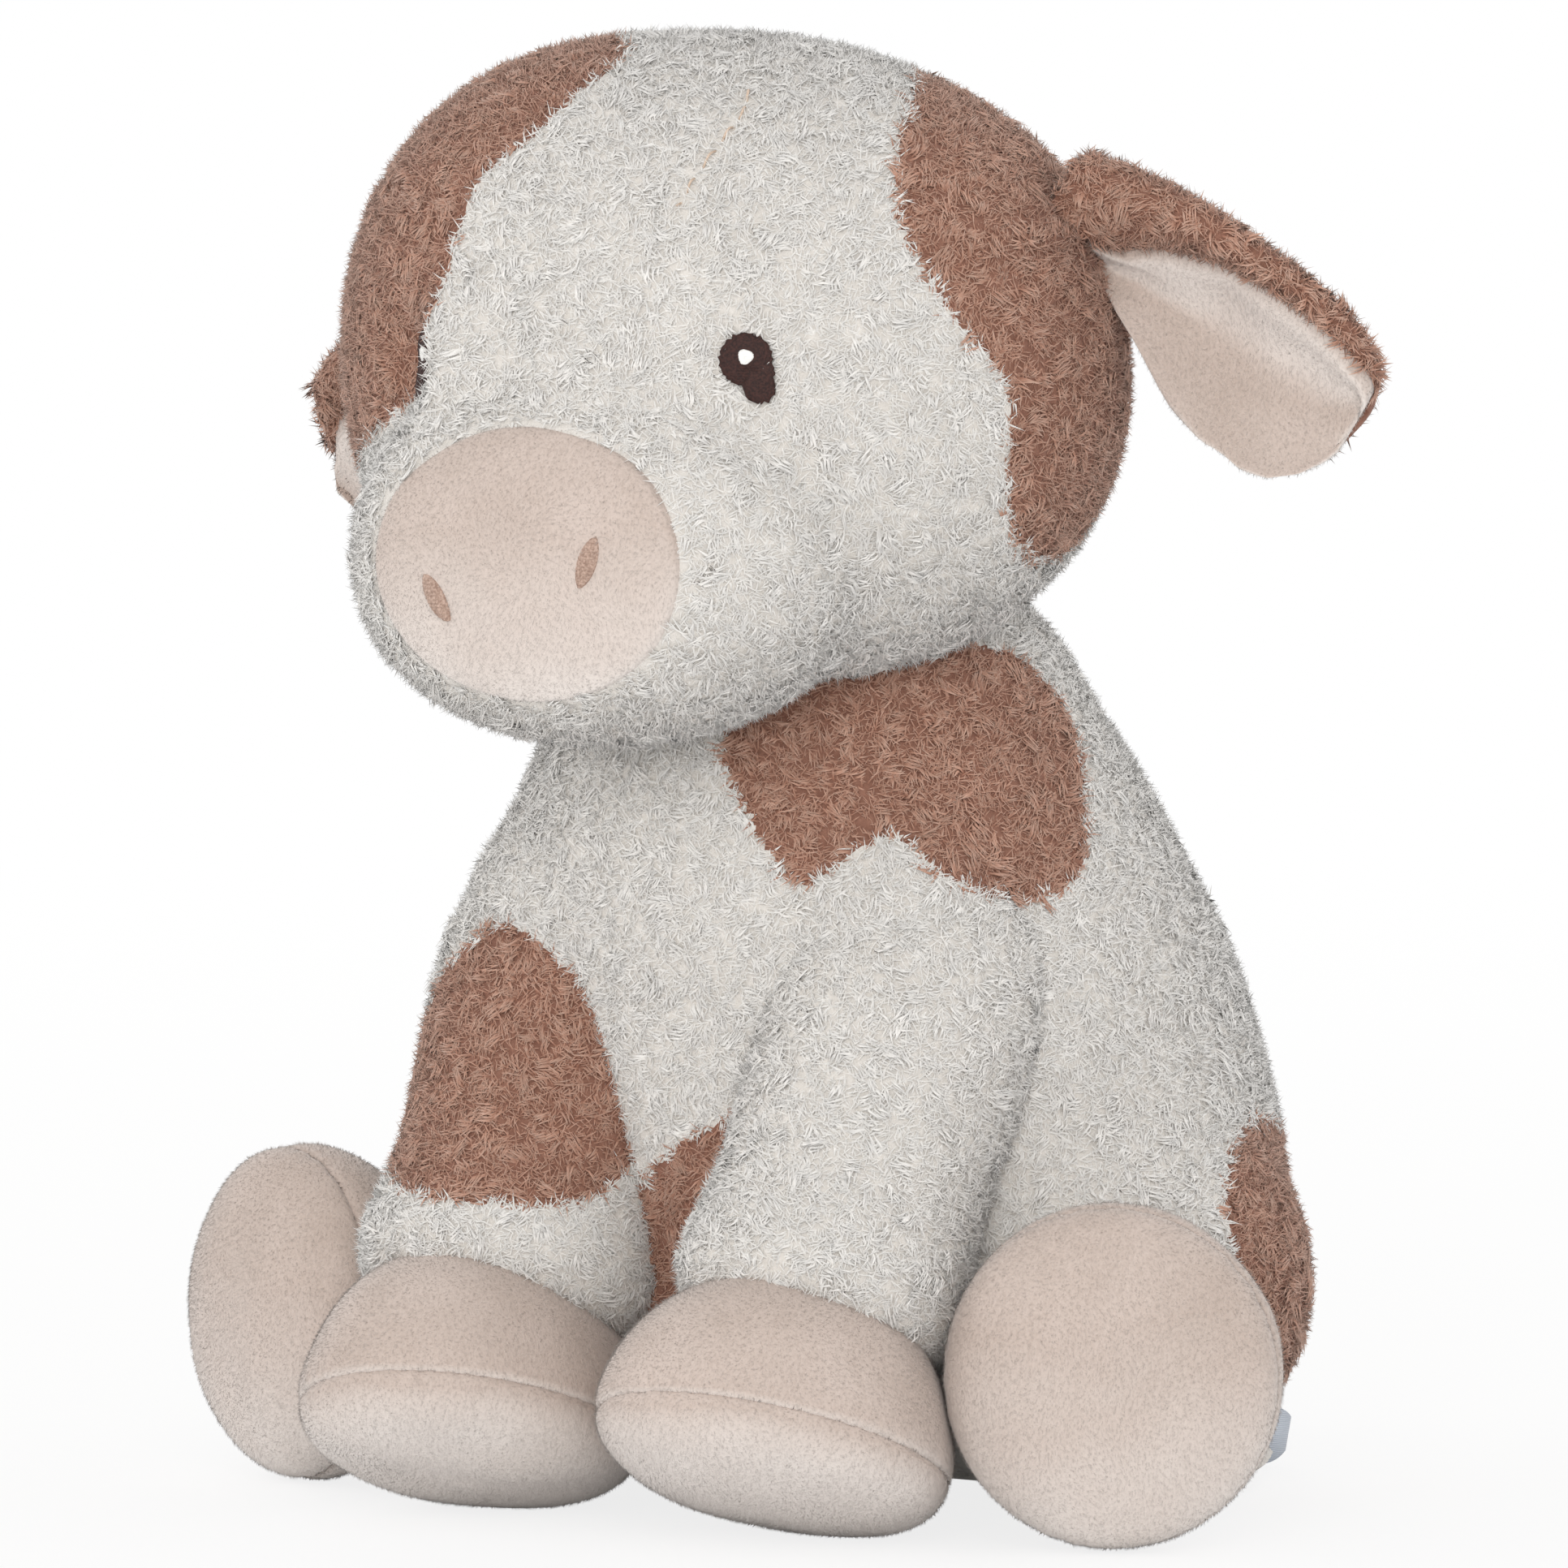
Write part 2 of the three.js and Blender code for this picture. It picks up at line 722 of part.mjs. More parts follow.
// A leaf between two offsets from the ear's surface, left narrower and shorter by some steps
function leaf(side, low, high, trim) {
  const rings = [];
  for (let row = trim; row <= ear.lengthSteps - trim; row++) {
    const ring = [];
    const place = (column, offset) =>
      earPlace(side, row / ear.lengthSteps, (2 * column) / ear.widthSteps - 1, offset);
    for (let column = trim; column <= ear.widthSteps - trim; column++) ring.push(place(column, low));
    for (let column = ear.widthSteps - trim; column >= trim; column--) ring.push(place(column, high));
    rings.push(ring.reverse());
  }
  const middleOf = (ring) =>
    ring.reduce((sum, point) => sum.add(point), new THREE.Vector3()).divideScalar(ring.length);
  return placedOnHead(skinned(middleOf(rings[0]), rings, middleOf(rings.at(-1))));
}

function addEar(side, sign) {
  const pivot = new THREE.Vector3(...ear[side].root).applyMatrix4(headPlace);
  const axis = backward.clone().multiplyScalar(-sign);
  const skull = placedOnHead(formed(skullForm, -jointGap));
  const headSwept = keptClear(skull, pivot, axis, -earFlop, earFlop);
  const back = solid(leaf(side, -ear.backThickness, 0, 0));
  const lining = solid(leaf(side, gap, gap + ear.liningThickness, 1));
  add("ear_" + side + "_back", cut(back, headSwept), brown);
  add("ear_" + side + "_lining", cut(lining, headSwept), beige);
}

// A leg with its velboa cap and sole: the leg's sleeve stops on the cap, and the filling
// runs through the cap's mouth down to the sole
function addLeg(name, side, leg, foot, names, pivot, axis, lift, floor, patches) {
  const torsoSwept = keptClear(formed(bodyForm, -jointGap), pivot, axis, 0, lift);
  const sleeve = cut(shell(leg, pileFabric), [solid(formed(foot, -gap)), floor, ...torsoSwept]);
  const middle = leg.start.clone().add(leg.end).multiplyScalar(1 / 2);
  add(name + "_" + side + "_skin", patched(sleeve, middle, leg.halfWidth, patches), white);

  const wall = cut(shell(foot, velboa), [floor]);
  const seamLow = foot.seam.clone().addScaledVector(foot.rise, -gap / 2);
  const seamHigh = foot.seam.clone().addScaledVector(foot.rise, gap / 2);
  const above = beyond(seamHigh, foot.rise);
  const below = beyond(seamLow, foot.rise.clone().negate());
  const mouth = solid(inside(leg, pileFabric));
  add(names[0] + "_" + side, cut(wall.intersect(above), [mouth, ...torsoSwept]), beige);
  add(names[1] + "_" + side, wall.intersect(below), beige);

  const inLeg = solid(inside(leg, pileFabric + gap));
  const inFoot = solid(inside(foot, velboa + gap));
  add(name + "_" + side + "_filling", cut(inLeg.add(inFoot), torsoSwept), fibre);
}

function addFrontLeg(side, sign, floor) {
  const pivot = mirrored(frontLeg.shoulder, sign);
  const axis = leftward.clone().negate();
  const { knee_patch } = outlines;
  const patches = sign < 0 ? { knee_patch } : {};
  addLeg(
    "front_leg", side, frontLegForm(sign), hoofForm(sign), ["hoof_upper", "hoof_sole"],
    pivot, axis, frontLift, floor, patches,
  );
}

function addHindLeg(side, sign, floor) {
  const foot = hindFootForm(sign);
  const pivot = mirrored(hindLeg.hip, sign);
  const axis = foot.rise.clone().negate().cross(up);
  addLeg(
    "hind_leg", side, hindLegForm(sign, foot), foot, ["foot_upper", "foot_sole"],
    pivot, axis, hindLift, floor, {},
  );
}

// An oval outline of directions round a spot, tipped by an angle
function oval({ round, rise, halfRound, halfRise, tip }) {
  return Array.from({ length: smallSides }, (_, step) => {
    const angle = (2 * Math.PI * step) / smallSides;
    const spot = new THREE.Vector2(halfRound * Math.cos(angle), halfRise * Math.sin(angle));
    spot.rotateAround(new THREE.Vector2(), THREE.MathUtils.degToRad(tip));
    return [round + spot.x, rise + spot.y];
  });
}

// Embroidery is a layer over the head's skin, from one height above it to another
function stitched(spot, low, high) {
  const layer = headSolid(-high).subtract(headSolid(-low));
  return layer.intersect(solid(wedge(headMiddle, oval(spot), head.halfHeight)));
}

function addFace(side) {
  const { eye, eye_highlight, nostril } = face[side];
  const eyeTop = gap + embroidery.depth;
  add("eye_" + side, stitched(eye, gap, eyeTop), darkBrown, 0.6);
  const highlightTop = eyeTop + gap + embroidery.highlightDepth;
  add("eye_highlight_" + side, stitched(eye_highlight, eyeTop + gap, highlightTop), white, 0.6);
  add("nostril_" + side, stitched(nostril, gap, eyeTop), thread, 0.5);
}

function addTail() {
  const pivot = new THREE.Vector3(...tail.root);
  const torsoSwept = keptClear(formed(bodyForm, -jointGap), pivot, backward, -tailSwing, tailSwing);
  const dockForm = {
    start: pivot,
    end: new THREE.Vector3(...tail.end),
    side: leftward,
    halfWidth: tail.radius,
    halfDepth: tail.radius,
    shift: 0,
    fullness: tail.fullness,
    sides: smallSides,
    shares: tail.shares,
  };
  const tuftForm = {
    ...dockForm,
    start: dockForm.end,
    end: new THREE.Vector3(...tail.tuftEnd),
    halfWidth: tail.tuftRadius,
    halfDepth: tail.tuftRadius,
    shares: tail.tuftShares,
  };
  add("tail", cut(solid(formed(dockForm)), [solid(formed(tuftForm, -gap)), ...torsoSwept]), white);
  add("tail_tuft", cut(solid(formed(tuftForm)), torsoSwept), brown);
}

function addCareLabel() {
  const half = careLabel.loop / 2;
  const fold = careLabel.reach - half;
  const outline = new THREE.Shape();
  outline.moveTo(-careLabel.reach, half);
  outline.lineTo(fold, half);
  outline.absarc(fold, 0, half, Math.PI / 2, -Math.PI / 2, true);
  outline.lineTo(-careLabel.reach, -half);
  outline.lineTo(-careLabel.reach, -half + careLabel.thickness);
  outline.lineTo(fold, -half + careLabel.thickness);
  outline.absarc(fold, 0, half - careLabel.thickness, -Math.PI / 2, Math.PI / 2, false);
  outline.lineTo(-careLabel.reach, half - careLabel.thickness);
  const ribbon = new THREE.ExtrudeGeometry(outline, {
    depth: careLabel.width,
    bevelEnabled: false,
    curveSegments: smallSides / 2,
  });
  const angle = THREE.MathUtils.degToRad(careLabel.angle);
  ribbon.rotateZ(Math.PI / 2 - angle);
  const seamX = careLabel.seamShare * Math.sin(angle) * body.halfWidth;
  const seamY = body.baseY + careLabel.seamShare * Math.cos(angle) * body.halfDepth;
  ribbon.translate(seamX, seamY, careLabel.bottom);
  add("care_label", cut(solid(ribbon), [solid(formed(bodyForm, -gap))]), satin, 0.4);
}

const floor = ground();
addTorso(floor);
addNeck();
addHead();
for (const [side, sign] of [["left", 1], ["right", -1]]) {
  addFace(side);
  addEar(side, sign);
  addFrontLeg(side, sign, floor);
  addHindLeg(side, sign, floor);
}
addTail();
addCareLabel();

// The origin is the middle of the footprint
const footprint = new THREE.Box3().setFromObject(cow).getCenter(new THREE.Vector3()).setZ(0);
for (const node of cow.children) node.geometry.translate(...footprint.clone().negate());

export default cow;
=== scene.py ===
import math

import bpy
import numpy as np
from mathutils import Matrix, Vector
from mathutils.kdtree import KDTree


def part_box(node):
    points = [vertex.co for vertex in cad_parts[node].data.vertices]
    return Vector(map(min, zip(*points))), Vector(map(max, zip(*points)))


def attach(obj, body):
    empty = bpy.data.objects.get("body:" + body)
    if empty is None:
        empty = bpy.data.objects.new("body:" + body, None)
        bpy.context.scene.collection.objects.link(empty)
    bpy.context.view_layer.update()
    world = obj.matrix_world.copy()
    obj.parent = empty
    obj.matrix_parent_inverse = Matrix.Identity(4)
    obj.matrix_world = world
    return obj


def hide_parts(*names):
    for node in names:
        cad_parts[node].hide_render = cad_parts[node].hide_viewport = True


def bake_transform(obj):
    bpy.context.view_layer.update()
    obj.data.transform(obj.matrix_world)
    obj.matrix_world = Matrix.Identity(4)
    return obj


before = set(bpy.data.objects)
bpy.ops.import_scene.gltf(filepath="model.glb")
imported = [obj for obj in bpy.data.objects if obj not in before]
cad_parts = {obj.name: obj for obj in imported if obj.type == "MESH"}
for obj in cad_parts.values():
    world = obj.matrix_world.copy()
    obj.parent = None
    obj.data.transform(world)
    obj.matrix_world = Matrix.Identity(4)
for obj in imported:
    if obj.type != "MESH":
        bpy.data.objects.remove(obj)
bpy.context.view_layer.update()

# A seated plush cow, dressed in curly pile and short velboa.
# Forms are drawn in millimetres about the CAD's drawing origin, and OFFSET moves them into
# the frame, which is in metres. The cow faces -Y, and its own left side is +X.

MM = 0.001
neck_low, neck_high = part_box("neck_filling")
neck = (np.array(neck_low) + neck_high) / 2
OFFSET = np.array([neck[0], neck[1] - 8 * MM, 0.0])
SIDES = {"left": 1, "right": -1}
UP = np.array([0.0, 0.0, 1.0])

# The pile: how many wisps grow on a square millimetre, how many of them make up a lock,
# the length and radius of one, and the most in a piece
WISPS_PER_MM2 = 1.05
WISPS_PER_LOCK = 8
WISP_LENGTH = 5.2
WISP_RADIUS = 0.30
WISPS_PER_PIECE = 18000

# The share of light that thin fibres let through
LIGHT_THROUGH_FIBRES = 0.13

# Short spiky fibres: the fuzz that fills in between the wisps, and the nap of the velboa.
# How many on a square millimetre, their length and half their width
FUZZ = (1.35, 3.4, 0.23)
NAP = (2.2, 1.3, 0.08)
FIBRES_PER_PIECE = 45000

# The least height of what sits on the ground
SKIN_OFF_GROUND, VELBOA_OFF_GROUND, TAIL_OFF_GROUND, WISP_OFF_GROUND = 0.3, 0.25, 0.4, 0.6
FILLING_INSET, FILLING_OFF_GROUND = 4.5, 3.0

# How far from a middle a search for a surface starts and ends
NEAR_AND_FAR = (30, 130)


# What many of the steps below share

def placed(name, data):
    made = bpy.data.objects.new(name, data)
    bpy.context.scene.collection.objects.link(made)
    return made


def unit(vectors):
    return vectors / np.maximum(np.linalg.norm(vectors, axis=-1, keepdims=True), 1e-12)


def turns(sides):
    return np.arange(sides) * 2 * math.pi / sides


def crossing(inside, low, high, shape, rounds=24):
    """Where each of many searches between low and high leaves what is inside."""
    low, high = np.full(shape, float(low)), np.full(shape, float(high))
    for _ in range(rounds):
        half = (low + high) / 2
        within = inside(half)
        low, high = np.where(within, half, low), np.where(within, high, half)
    return low


# Camera

def add_camera():
    turn, rise = math.radians(34), math.radians(4.8)
    level = math.cos(rise)
    back = Vector((math.sin(turn) * level, -math.cos(turn) * level, math.sin(rise)))
    right = Vector((math.cos(turn), math.sin(turn), 0))
    above = back.cross(right)
    distance, field = 3.5, 0.3478
    aim = Vector(OFFSET) + Vector((0, 0, 0.170)) - 0.0054 * right - 0.011 * above
    data = bpy.data.cameras.new("camera")
    data.sensor_width = 36
    data.lens = data.sensor_width * distance / field
    data.clip_end = 20
    camera = placed("camera", data)
    facing = Matrix((right, above, back)).transposed().to_4x4()
    camera.matrix_world = Matrix.Translation(aim + distance * back) @ facing
    bpy.context.scene.camera = camera


# Shader maths

class Value:
    """A socket in a node tree, so that shader maths reads as Python."""

    def __init__(self, nodes, socket):
        self.nodes = nodes
        self.socket = socket

    def _math(self, operation, other):
        return self.nodes.node("ShaderNodeMath", {"operation": operation}, {0: self, 1: other})

    def __add__(self, other):
        return self._math("ADD", other)

    def __sub__(self, other):
        return self._math("SUBTRACT", other)

    def __mul__(self, other):
        return self._math("MULTIPLY", other)


class Nodes:
    """A node tree, and the one way in which nodes are added to it."""

    def __init__(self, owner):
        owner.use_nodes = True
        self.tree = owner.node_tree

    def node(self, kind, settings, sockets, output=0):
        """Adds a node with these settings, its sockets linked or set, and gives one output."""
        made = self.tree.nodes.new(kind)
        for key, value in settings.items():
            if key == "stops":
                ramp = made.color_ramp
                while len(ramp.elements) < len(value):
                    ramp.elements.new(0.5)
                for element, (position, colour) in zip(ramp.elements, value):
                    element.position = position
                    element.color = (*colour, 1)
            else:
                setattr(made, key, value)
        for key, value in sockets.items():
            if isinstance(value, Value):
                self.tree.links.new(value.socket, made.inputs[key])
            else:
                made.inputs[key].default_value = value
        return Value(self, made.outputs[output])

    def feed(self, node, socket, value):
        self.tree.links.new(value.socket, self.tree.nodes[node].inputs[socket])


class Finish(Nodes):
    """A material with one Principled shader."""

    def __init__(self, name, roughness, **constants):
        self.material = bpy.data.materials.new(name)
        super().__init__(self.material)
        self.shader = self.tree.nodes["Principled BSDF"]
        self.shader.inputs["Roughness"].default_value = roughness
        for socket, value in constants.items():
            self.shader.inputs[socket.replace("_", " ")].default_value = value

    def mix(self, factor, first, second, blend="MIX"):
        colours = [(*c, 1) if isinstance(c, tuple) else c for c in (first, second)]
        settings = {"data_type": "RGBA", "blend_type": blend}
        return self.node("ShaderNodeMix", settings, {0: factor, 6: colours[0], 7: colours[1]}, 2)

    def scaled(self, vector, scales):
        return self.node("ShaderNodeVectorMath", {"operation": "MULTIPLY"}, {0: vector, 1: scales})

    def noise(self, vector, scale, detail=2.0, roughness=0.5):
        sockets = {"Vector": vector, "Scale": scale, "Detail": detail, "Roughness": roughness}
        return self.node("ShaderNodeTexNoise", {}, sockets)

    def ramp(self, factor, stops):
        return self.node("ShaderNodeValToRGB", {"stops": stops}, {0: factor})

    def places(self):
        return self.node("ShaderNodeTexCoord", {}, {}, "Object")

    def colour(self, value):
        self.feed("Principled BSDF", "Base Color", value)

    def bump(self, height, strength, distance):
        sockets = {"Height": height, "Strength": strength, "Distance": distance}
        self.feed("Principled BSDF", "Normal", self.node("ShaderNodeBump", {}, sockets))

    def share_with(self, other, share):
        """Gives another shader a share of the surface."""
        shaders = {0: share, 1: Value(self, self.shader.outputs[0]), 2: other}
        self.feed("Material Output", "Surface", self.node("ShaderNodeMixShader", {}, shaders))


def painted_light_below(finish, colour, painted_pale, drift=0.0):
    """Painted light from below: the same colour on top, going over to a paler one where the surface
    faces down.
    """
    normal = finish.node("ShaderNodeTexCoord", {}, {}, "Normal")
    up = finish.node("ShaderNodeSeparateXYZ", {}, {0: normal}, "Z")
    ranges = {"Value": up + drift, "From Min": 0.15, "From Max": -0.85}
    painted_light_share = finish.node("ShaderNodeMapRange", {}, ranges)
    return finish.mix(painted_light_share, colour, painted_pale)


def curl_finish(name, root, middle, tip, low, painted_pale=None):
    """Yarn: darker where it leaves the backing, as painted shade down in the pile, and paler at its
    tip, as painted light; each wisp in its own tone.

    The map's u holds a wisp's shade, and within it the place across the wisp."""
    finish = Finish(name, 0.95, Sheen_Weight=0.2, Sheen_Roughness=0.6, Specular_IOR_Level=0.1)
    strand = finish.node("ShaderNodeUVMap", {"uv_map": "OFBake"}, {})
    shade = finish.node("ShaderNodeSeparateXYZ", {}, {0: strand}, "X")
    along = finish.node("ShaderNodeSeparateXYZ", {}, {0: strand}, "Y")
    fibres = finish.noise(finish.scaled(strand, (64, 1.6, 1)), 1.0)
    # The ramp paints shade at each wisp's root and light at its tip.
    colour = finish.ramp(along + (fibres - 0.5) * 0.9, [(0.05, root), (0.5, middle), (1.0, tip)])
    shades = finish.ramp(shade, [(0.0, (low,) * 3), (0.9, (1.0,) * 3)])
    dimmed = finish.mix(1.0, colour, shades, "MULTIPLY")
    # A paler colour, where one is given, is painted light from below on the underside.
    finish.colour(painted_light_below(finish, dimmed, painted_pale) if painted_pale else dimmed)
    translucent = finish.node("ShaderNodeBsdfTranslucent", {}, {"Color": (*tip, 1)})
    finish.share_with(translucent, LIGHT_THROUGH_FIBRES)
    return finish.material


def backing_finish(name, low, high):
    """The knitted backing between the curls."""
    finish = Finish(name, 1.0, Sheen_Weight=0.1)
    spots = finish.noise(finish.places(), 420, 3.0, 0.6)
    finish.colour(finish.ramp(spots, [(0.3, low), (0.7, high)]))
    finish.bump(spots, 0.6, 0.0015)
    return finish.material


def velboa_finish(name, low, high, painted_pale):
    """Short brushed pile: fine strokes of nap with soft cloudy mottling, and painted light from
    below that makes its underside paler.
    """
    finish = Finish(name, 0.88, Sheen_Weight=0.35, Sheen_Roughness=0.45, Specular_IOR_Level=0.25)
    places = finish.places()
    strokes = finish.noise(finish.scaled(places, (1500, 1500, 620)), 1.0, 2.0, 0.6)
    grain = finish.noise(places, 2300, 1.0)
    clouds = finish.noise(places, 42, 3.0, 0.55)
    tone = strokes * 0.30 + grain * 0.20 + clouds * 0.50
    colour = finish.ramp(tone, [(0.36, low), (0.64, high)])
    # Painted light from below pales the underside, its edge wandering with the clouds.
    finish.colour(painted_light_below(finish, colour, painted_pale, (clouds - 0.5) * 0.8))
    finish.bump(strokes * 0.6 + grain * 0.4, 0.35, 0.0005)
    return finish.material


def thread_finish(name, colour, paler, gloss=0.42):
    """Rayon embroidery thread, with the ply showing as fine streaks."""
    finish = Finish(name, gloss, Specular_IOR_Level=0.35)
    streaks = finish.noise(finish.places(), 1900, 2.0)
    finish.colour(finish.ramp(streaks, [(0.35, colour), (0.65, paler)]))
    finish.bump(streaks, 0.3, 0.0002)
    return finish.material


def satin_finish(name, low, high):
    """Smooth woven ribbon."""
    finish = Finish(name, 0.36, Sheen_Weight=0.2)
    sockets = {"Vector": finish.places(), "Scale": 700.0}
    weave = finish.node("ShaderNodeTexWave", {"bands_direction": "Z"}, sockets)
    finish.colour(finish.ramp(weave, [(0.2, low), (0.8, high)]))
    finish.bump(weave, 0.3, 0.0002)
    return finish.material


# Each pile runs from a root to a middle to a tip colour: the darker root is painted shade down in
# the pile, the paler tip painted light. The nap's last colour is painted light from below.
WHITE_CURLS = curl_finish(
    "white_curls", (0.90, 0.86, 0.81), (0.965, 0.945, 0.915), (0.98, 0.968, 0.95), low=0.93)
BROWN_CURLS = curl_finish(
    "brown_curls", (0.30, 0.12, 0.075), (0.56, 0.31, 0.225), (0.80, 0.55, 0.44), low=0.8)
VELBOA_NAP = curl_finish(
    "velboa_nap", (0.52, 0.43, 0.38), (0.60, 0.515, 0.465), (0.67, 0.60, 0.56),
    low=0.9, painted_pale=(0.84, 0.785, 0.75))
# The backings are darkened to the tone of the shaded gaps between the curls: painted shade.
WHITE_BACKING_PAINTED_SHADE = backing_finish("white_backing_painted_shade", (0.68, 0.645, 0.60), (0.75, 0.72, 0.685))
BROWN_BACKING_PAINTED_SHADE = backing_finish("brown_backing_painted_shade", (0.21, 0.095, 0.065), (0.30, 0.15, 0.105))
# The velboa's last colour is painted light from below, on its underside.
VELBOA = velboa_finish("beige_velboa", (0.50, 0.41, 0.36), (0.62, 0.525, 0.475), (0.85, 0.79, 0.75))
DARK_THREAD = thread_finish("dark_thread", (0.018, 0.005, 0.004), (0.05, 0.016, 0.012), 0.65)
WHITE_THREAD = thread_finish("white_thread", (0.80, 0.80, 0.78), (0.90, 0.90, 0.88))
ROSE_THREAD = thread_finish("rose_thread", (0.30, 0.195, 0.15), (0.52, 0.37, 0.30), 0.32)
BEIGE_THREAD = thread_finish("beige_thread", (0.56, 0.42, 0.32), (0.70, 0.56, 0.45))
SATIN = satin_finish("satin", (0.46, 0.51, 0.60), (0.62, 0.67, 0.74))
FIBRE = backing_finish("fibre", (0.72, 0.72, 0.73), (0.88, 0.88, 0.89))
BROWN_PILE = (BROWN_CURLS, BROWN_BACKING_PAINTED_SHADE, "pile_brown")
WHITE_PILE = (WHITE_CURLS, WHITE_BACKING_PAINTED_SHADE, "pile_white")


# Forms

def spline(knots, values, ask):
    """A natural cubic through the values, at the places asked for."""
    knots, values = np.asarray(knots, float), np.asarray(values, float)
    gaps = np.diff(knots)
    slopes = np.diff(values) / gaps
    count = len(knots)
    matrix = np.eye(count)
    right = np.zeros(count)
    for row in range(1, count - 1):
        matrix[row, row - 1:row + 2] = gaps[row - 1], 2 * (gaps[row - 1] + gaps[row]), gaps[row]
        right[row] = 6 * (slopes[row] - slopes[row - 1])
    bends = np.linalg.solve(matrix, right)
    piece = np.clip(np.searchsorted(knots, ask, side="right") - 1, 0, count - 2)
    gap, after = gaps[piece], ask - knots[piece]
    before = gap - after
    return (bends[piece] * before ** 3 + bends[piece + 1] * after ** 3) / (6 * gap) + (
        values[piece] / gap - bends[piece] * gap / 6) * before + (
        values[piece + 1] / gap - bends[piece + 1] * gap / 6) * after


class Form:
    """A row of oval sections on a straight spine, rounded off at both ends.

    Each row of shares says how far along the spine it lies and its half width. Its shift in
    depth follows where it has one, and its half depth where that isn't the half width's share."""

    def __init__(self, start, end, side, wide, deep, rows, shift=0.0, fullness=2.0):
        self.start, self.wide, self.deep = np.array(start, float), wide, deep
        self.spine = np.array(end, float) - self.start
        self.length = np.linalg.norm(self.spine)
        self.along = self.spine / self.length
        self.depth = unit(np.cross(self.along, side))
        self.side = np.cross(self.depth, self.along)
        self.rows = np.array([(*row[:2], *(row[2:] or (0,)), row[1])[:4] for row in rows], float)
        self.shift, self.fullness = shift, fullness
        self.knots = np.arccos(1 - 2 * self.rows[:, 0]) / math.pi

    def _share(self, column, ask, sign):
        knots, values = self.knots, self.rows[:, column]
        before, after = slice(2, 0, -1), slice(-2, -4, -1)
        return spline(
            np.concatenate([-knots[before], knots, 2 - knots[after]]),
            np.concatenate([sign * values[before], values, sign * values[after]]), ask)

    def section(self, place):
        """Half width, half depth and middle where place runs from 0 to 1 over the form."""
        place = np.asarray(place, float)
        wide = np.maximum(self._share(1, place, -1), 1e-4) * self.wide
        deep = np.maximum(self._share(3, place, -1), 1e-4) * self.deep
        share = (1 - np.cos(math.pi * place)) / 2
        middle = self.start + np.multiply.outer(share, self.spine)
        shift = self._share(2, place, 1) * self.shift
        return wide, deep, middle + np.multiply.outer(shift, self.depth)

    def ring(self, place, angles):
        wide, deep, middle = self.section(place)
        power = 2 / self.fullness
        across = np.sign(np.cos(angles)) * np.abs(np.cos(angles)) ** power * wide
        down = np.sign(np.sin(angles)) * np.abs(np.sin(angles)) ** power * deep
        return middle + np.multiply.outer(across, self.side) + np.multiply.outer(down, self.depth)

    def grid(self, first, last, rows, sides):
        places = np.linspace(first, last, rows)
        return np.array([self.ring(place, turns(sides)) for place in places])

    def shell(self, rows=48, sides=64):
        """The whole form as a closed surface."""
        points = self.grid(0, 1, rows + 1, sides)[1:-1]
        return lofted(points, self.section(0.0)[2], self.section(1.0)[2])

    def level(self, points):
        """About how far the points lie outside the form. It is negative inside."""
        off = points - self.start
        share = off @ self.along / self.length
        place = np.arccos(1 - 2 * np.clip(share, 0, 1)) / math.pi
        wide, deep, middle = self.section(place)
        rest = points - middle
        across, down = np.abs(rest @ self.side), np.abs(rest @ self.depth)
        power = self.fullness
        reach = ((across / wide) ** power + (down / deep) ** power) ** (1 / power)
        radial = (reach - 1) * np.sqrt(wide * deep)
        past = np.maximum(-share, share - 1) * self.length
        return np.where(past > 0, np.hypot(np.maximum(radial, 0), past), np.maximum(radial, past))


def lofted(rings, first, last):
    """A closed surface over rings of equally many points, with a point at each end."""
    rows, sides = len(rings), len(rings[0])
    points = np.concatenate([[first], rings.reshape(-1, 3), [last]])
    here = 1 + np.arange(rows * sides).reshape(rows, sides)
    turn = np.roll(here, -1, 1)
    sheet = np.stack([here[:-1], turn[:-1], turn[1:], here[:-1], turn[1:], here[1:]], -1)
    bottom = np.stack([np.zeros(sides, int), turn[0], here[0]], -1)
    top = np.stack([np.full(sides, len(points) - 1), here[-1], turn[-1]], -1)
    faces = np.concatenate([sheet.reshape(-1, 3), bottom, top])
    return points, outward(points, faces)


def outward(points, faces):
    """Turns the faces of a closed surface to look out."""
    corners = points[faces]
    volume = np.einsum("ij,ij->i", corners[:, 0], np.cross(corners[:, 1], corners[:, 2])).sum()
    return faces if volume > 0 else faces[:, ::-1]


def face_crosses(points, faces):
    """Each triangle's normal, twice as long as its area."""
    corners = points[faces]
    return np.cross(corners[:, 1] - corners[:, 0], corners[:, 2] - corners[:, 0])


def normals_of(points, faces):
    crosses = face_crosses(points, faces)
    normals = np.zeros_like(points)
    for corner in range(3):
        np.add.at(normals, faces[:, corner], crosses)
    return unit(normals)


def grid_normals(grid):
    """Normals, facing out, of rings that don't close at their last one."""
    normals = unit(np.cross(np.roll(grid, -1, 1) - np.roll(grid, 1, 1), np.gradient(grid, axis=0)))
    return normals * np.sign(((grid - grid.mean((0, 1))) * normals).sum())


def lumps(points, size, seed, waves=10):
    """A smooth random field of about the given size, mostly between -1 and 1."""
    random = np.random.default_rng(seed)
    ways = random.normal(size=(waves, 3))
    ways *= 2 * math.pi / size / np.linalg.norm(ways, axis=1, keepdims=True)
    ways *= random.uniform(0.6, 1.5, (waves, 1))
    total = np.sin(points @ ways.T + random.uniform(0, 6.3, waves)).sum(1)
    return total / math.sqrt(waves / 2) / 1.6


